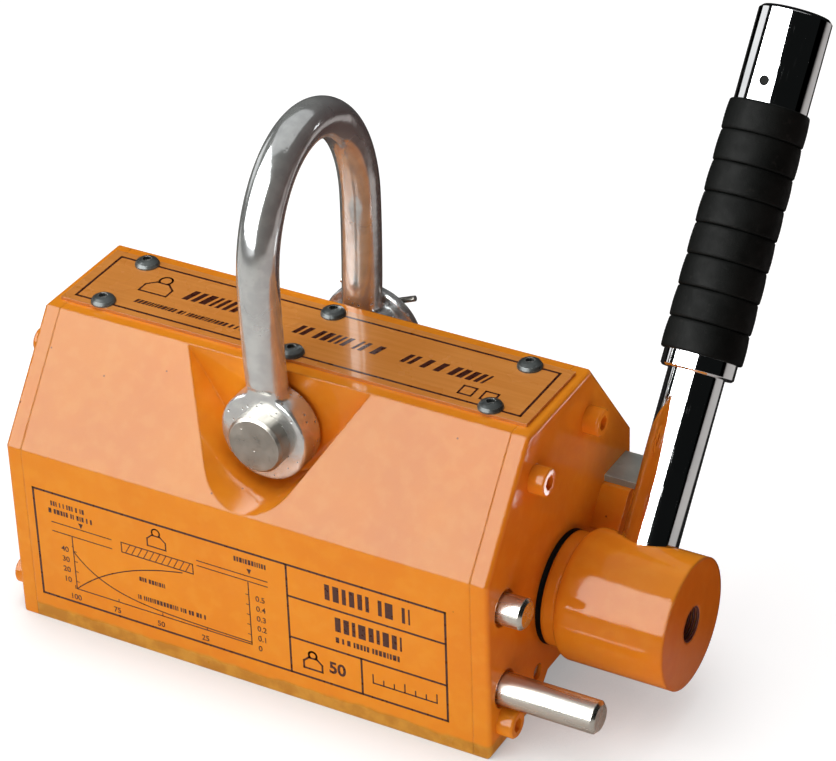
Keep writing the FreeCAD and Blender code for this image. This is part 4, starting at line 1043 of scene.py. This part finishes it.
def lights():
    """A large softbox at the front left, fill from above, front and right, and two mirrored cards."""
    soft_light("key_mirrored", KEY_PLACE, KEY_SIZE, 9.4, mirrored=True)
    soft_light("key", KEY_PLACE, KEY_SIZE, 1.45, COOL, lighting=True)
    soft_light("top_fill", (-0.28, 0.1, 1.05), (1.1, 1.0), 2.4, lighting=True)
    soft_light("front_fill", (0.15, -1.2, 0.18), (1.5, 0.5), 1.7, COOL, lighting=True)
    soft_light("right_fill", (1.2, -0.1, 0.14), (1.0, 0.5), 0.30, WARM, lighting=True)
    soft_light("left_card", (-1.5, 0.25, 0.35), (0.7, 0.6), 0.9, mirrored=True)
    soft_light("roof_card", (-0.05, 0.25, 1.2), (2.0, 1.3), 0.55, mirrored=True)


def surroundings():
    """Dim room for diffuse light, darker still in mirrored light; plain white for the camera."""
    world = bpy.data.worlds.new("studio")
    bpy.context.scene.world = world
    world.use_nodes = True
    tree = world.node_tree
    tree.nodes.clear()

    def background(colour, strength):
        node = tree.nodes.new("ShaderNodeBackground")
        node.inputs["Color"].default_value = colour
        node.inputs["Strength"].default_value = strength
        return node

    def mixed(share, first, second):
        node = tree.nodes.new("ShaderNodeMixShader")
        tree.links.new(share, node.inputs[0])
        tree.links.new(first.outputs[0], node.inputs[1])
        tree.links.new(second.outputs[0], node.inputs[2])
        return node

    path = tree.nodes.new("ShaderNodeLightPath").outputs
    shader = background(MIRRORED_ROOM_COLOUR, MIRRORED_ROOM_STRENGTH)
    shader = mixed(path["Is Diffuse Ray"], shader, background(ROOM_COLOUR, ROOM_STRENGTH))
    shader = mixed(path["Is Camera Ray"], shader, background(WHITE, 1.0))
    out = tree.nodes.new("ShaderNodeOutputWorld")
    tree.links.new(shader.outputs[0], out.inputs["Surface"])
    bpy.context.scene.view_settings.view_transform = "Standard"


# ---------------------------------------------------------------- camera

VIEW_AZIMUTH = math.radians(29.98)
VIEW_ELEVATION = math.radians(32.45)
VIEW_ROLL = math.radians(-1.94)
VIEW_AWAY = 0.9987
VIEW_LENS = 143.62
VIEW_CENTRE = (0, 0, 0.045)
VIEW_SHIFT = (0.02921, 0.02941)
SENSOR_WIDTH = 36
NEAREST_SEEN = 0.05


def camera():
    """Long lens from the front right and above, rolled slightly."""
    a, e, r = VIEW_AZIMUTH, VIEW_ELEVATION, VIEW_ROLL
    right = Vector((math.cos(a), math.sin(a), 0))
    back = Vector((math.sin(a) * math.cos(e), -math.cos(a) * math.cos(e), math.sin(e)))
    up = back.cross(right)
    rolled_right = right * math.cos(r) + up * math.sin(r)
    rolled_up = up * math.cos(r) - right * math.sin(r)
    target = Vector(VIEW_CENTRE) + rolled_right * VIEW_SHIFT[0] + rolled_up * VIEW_SHIFT[1]
    data = bpy.data.cameras.new("camera")
    data.lens = VIEW_LENS
    data.sensor_width = SENSOR_WIDTH
    data.clip_start = NEAREST_SEEN
    thing = bpy.data.objects.new("camera", data)
    turn = Matrix((rolled_right, rolled_up, back)).transposed()
    thing.matrix_world = Matrix.Translation(target + back * VIEW_AWAY) @ turn.to_4x4()
    bpy.context.scene.collection.objects.link(thing)
    bpy.context.scene.camera = thing


dress_nodes()
grip()
forged_shackle()
hub_thread()
front_label()
plate_print()
floor()
lights()
surroundings()
camera()
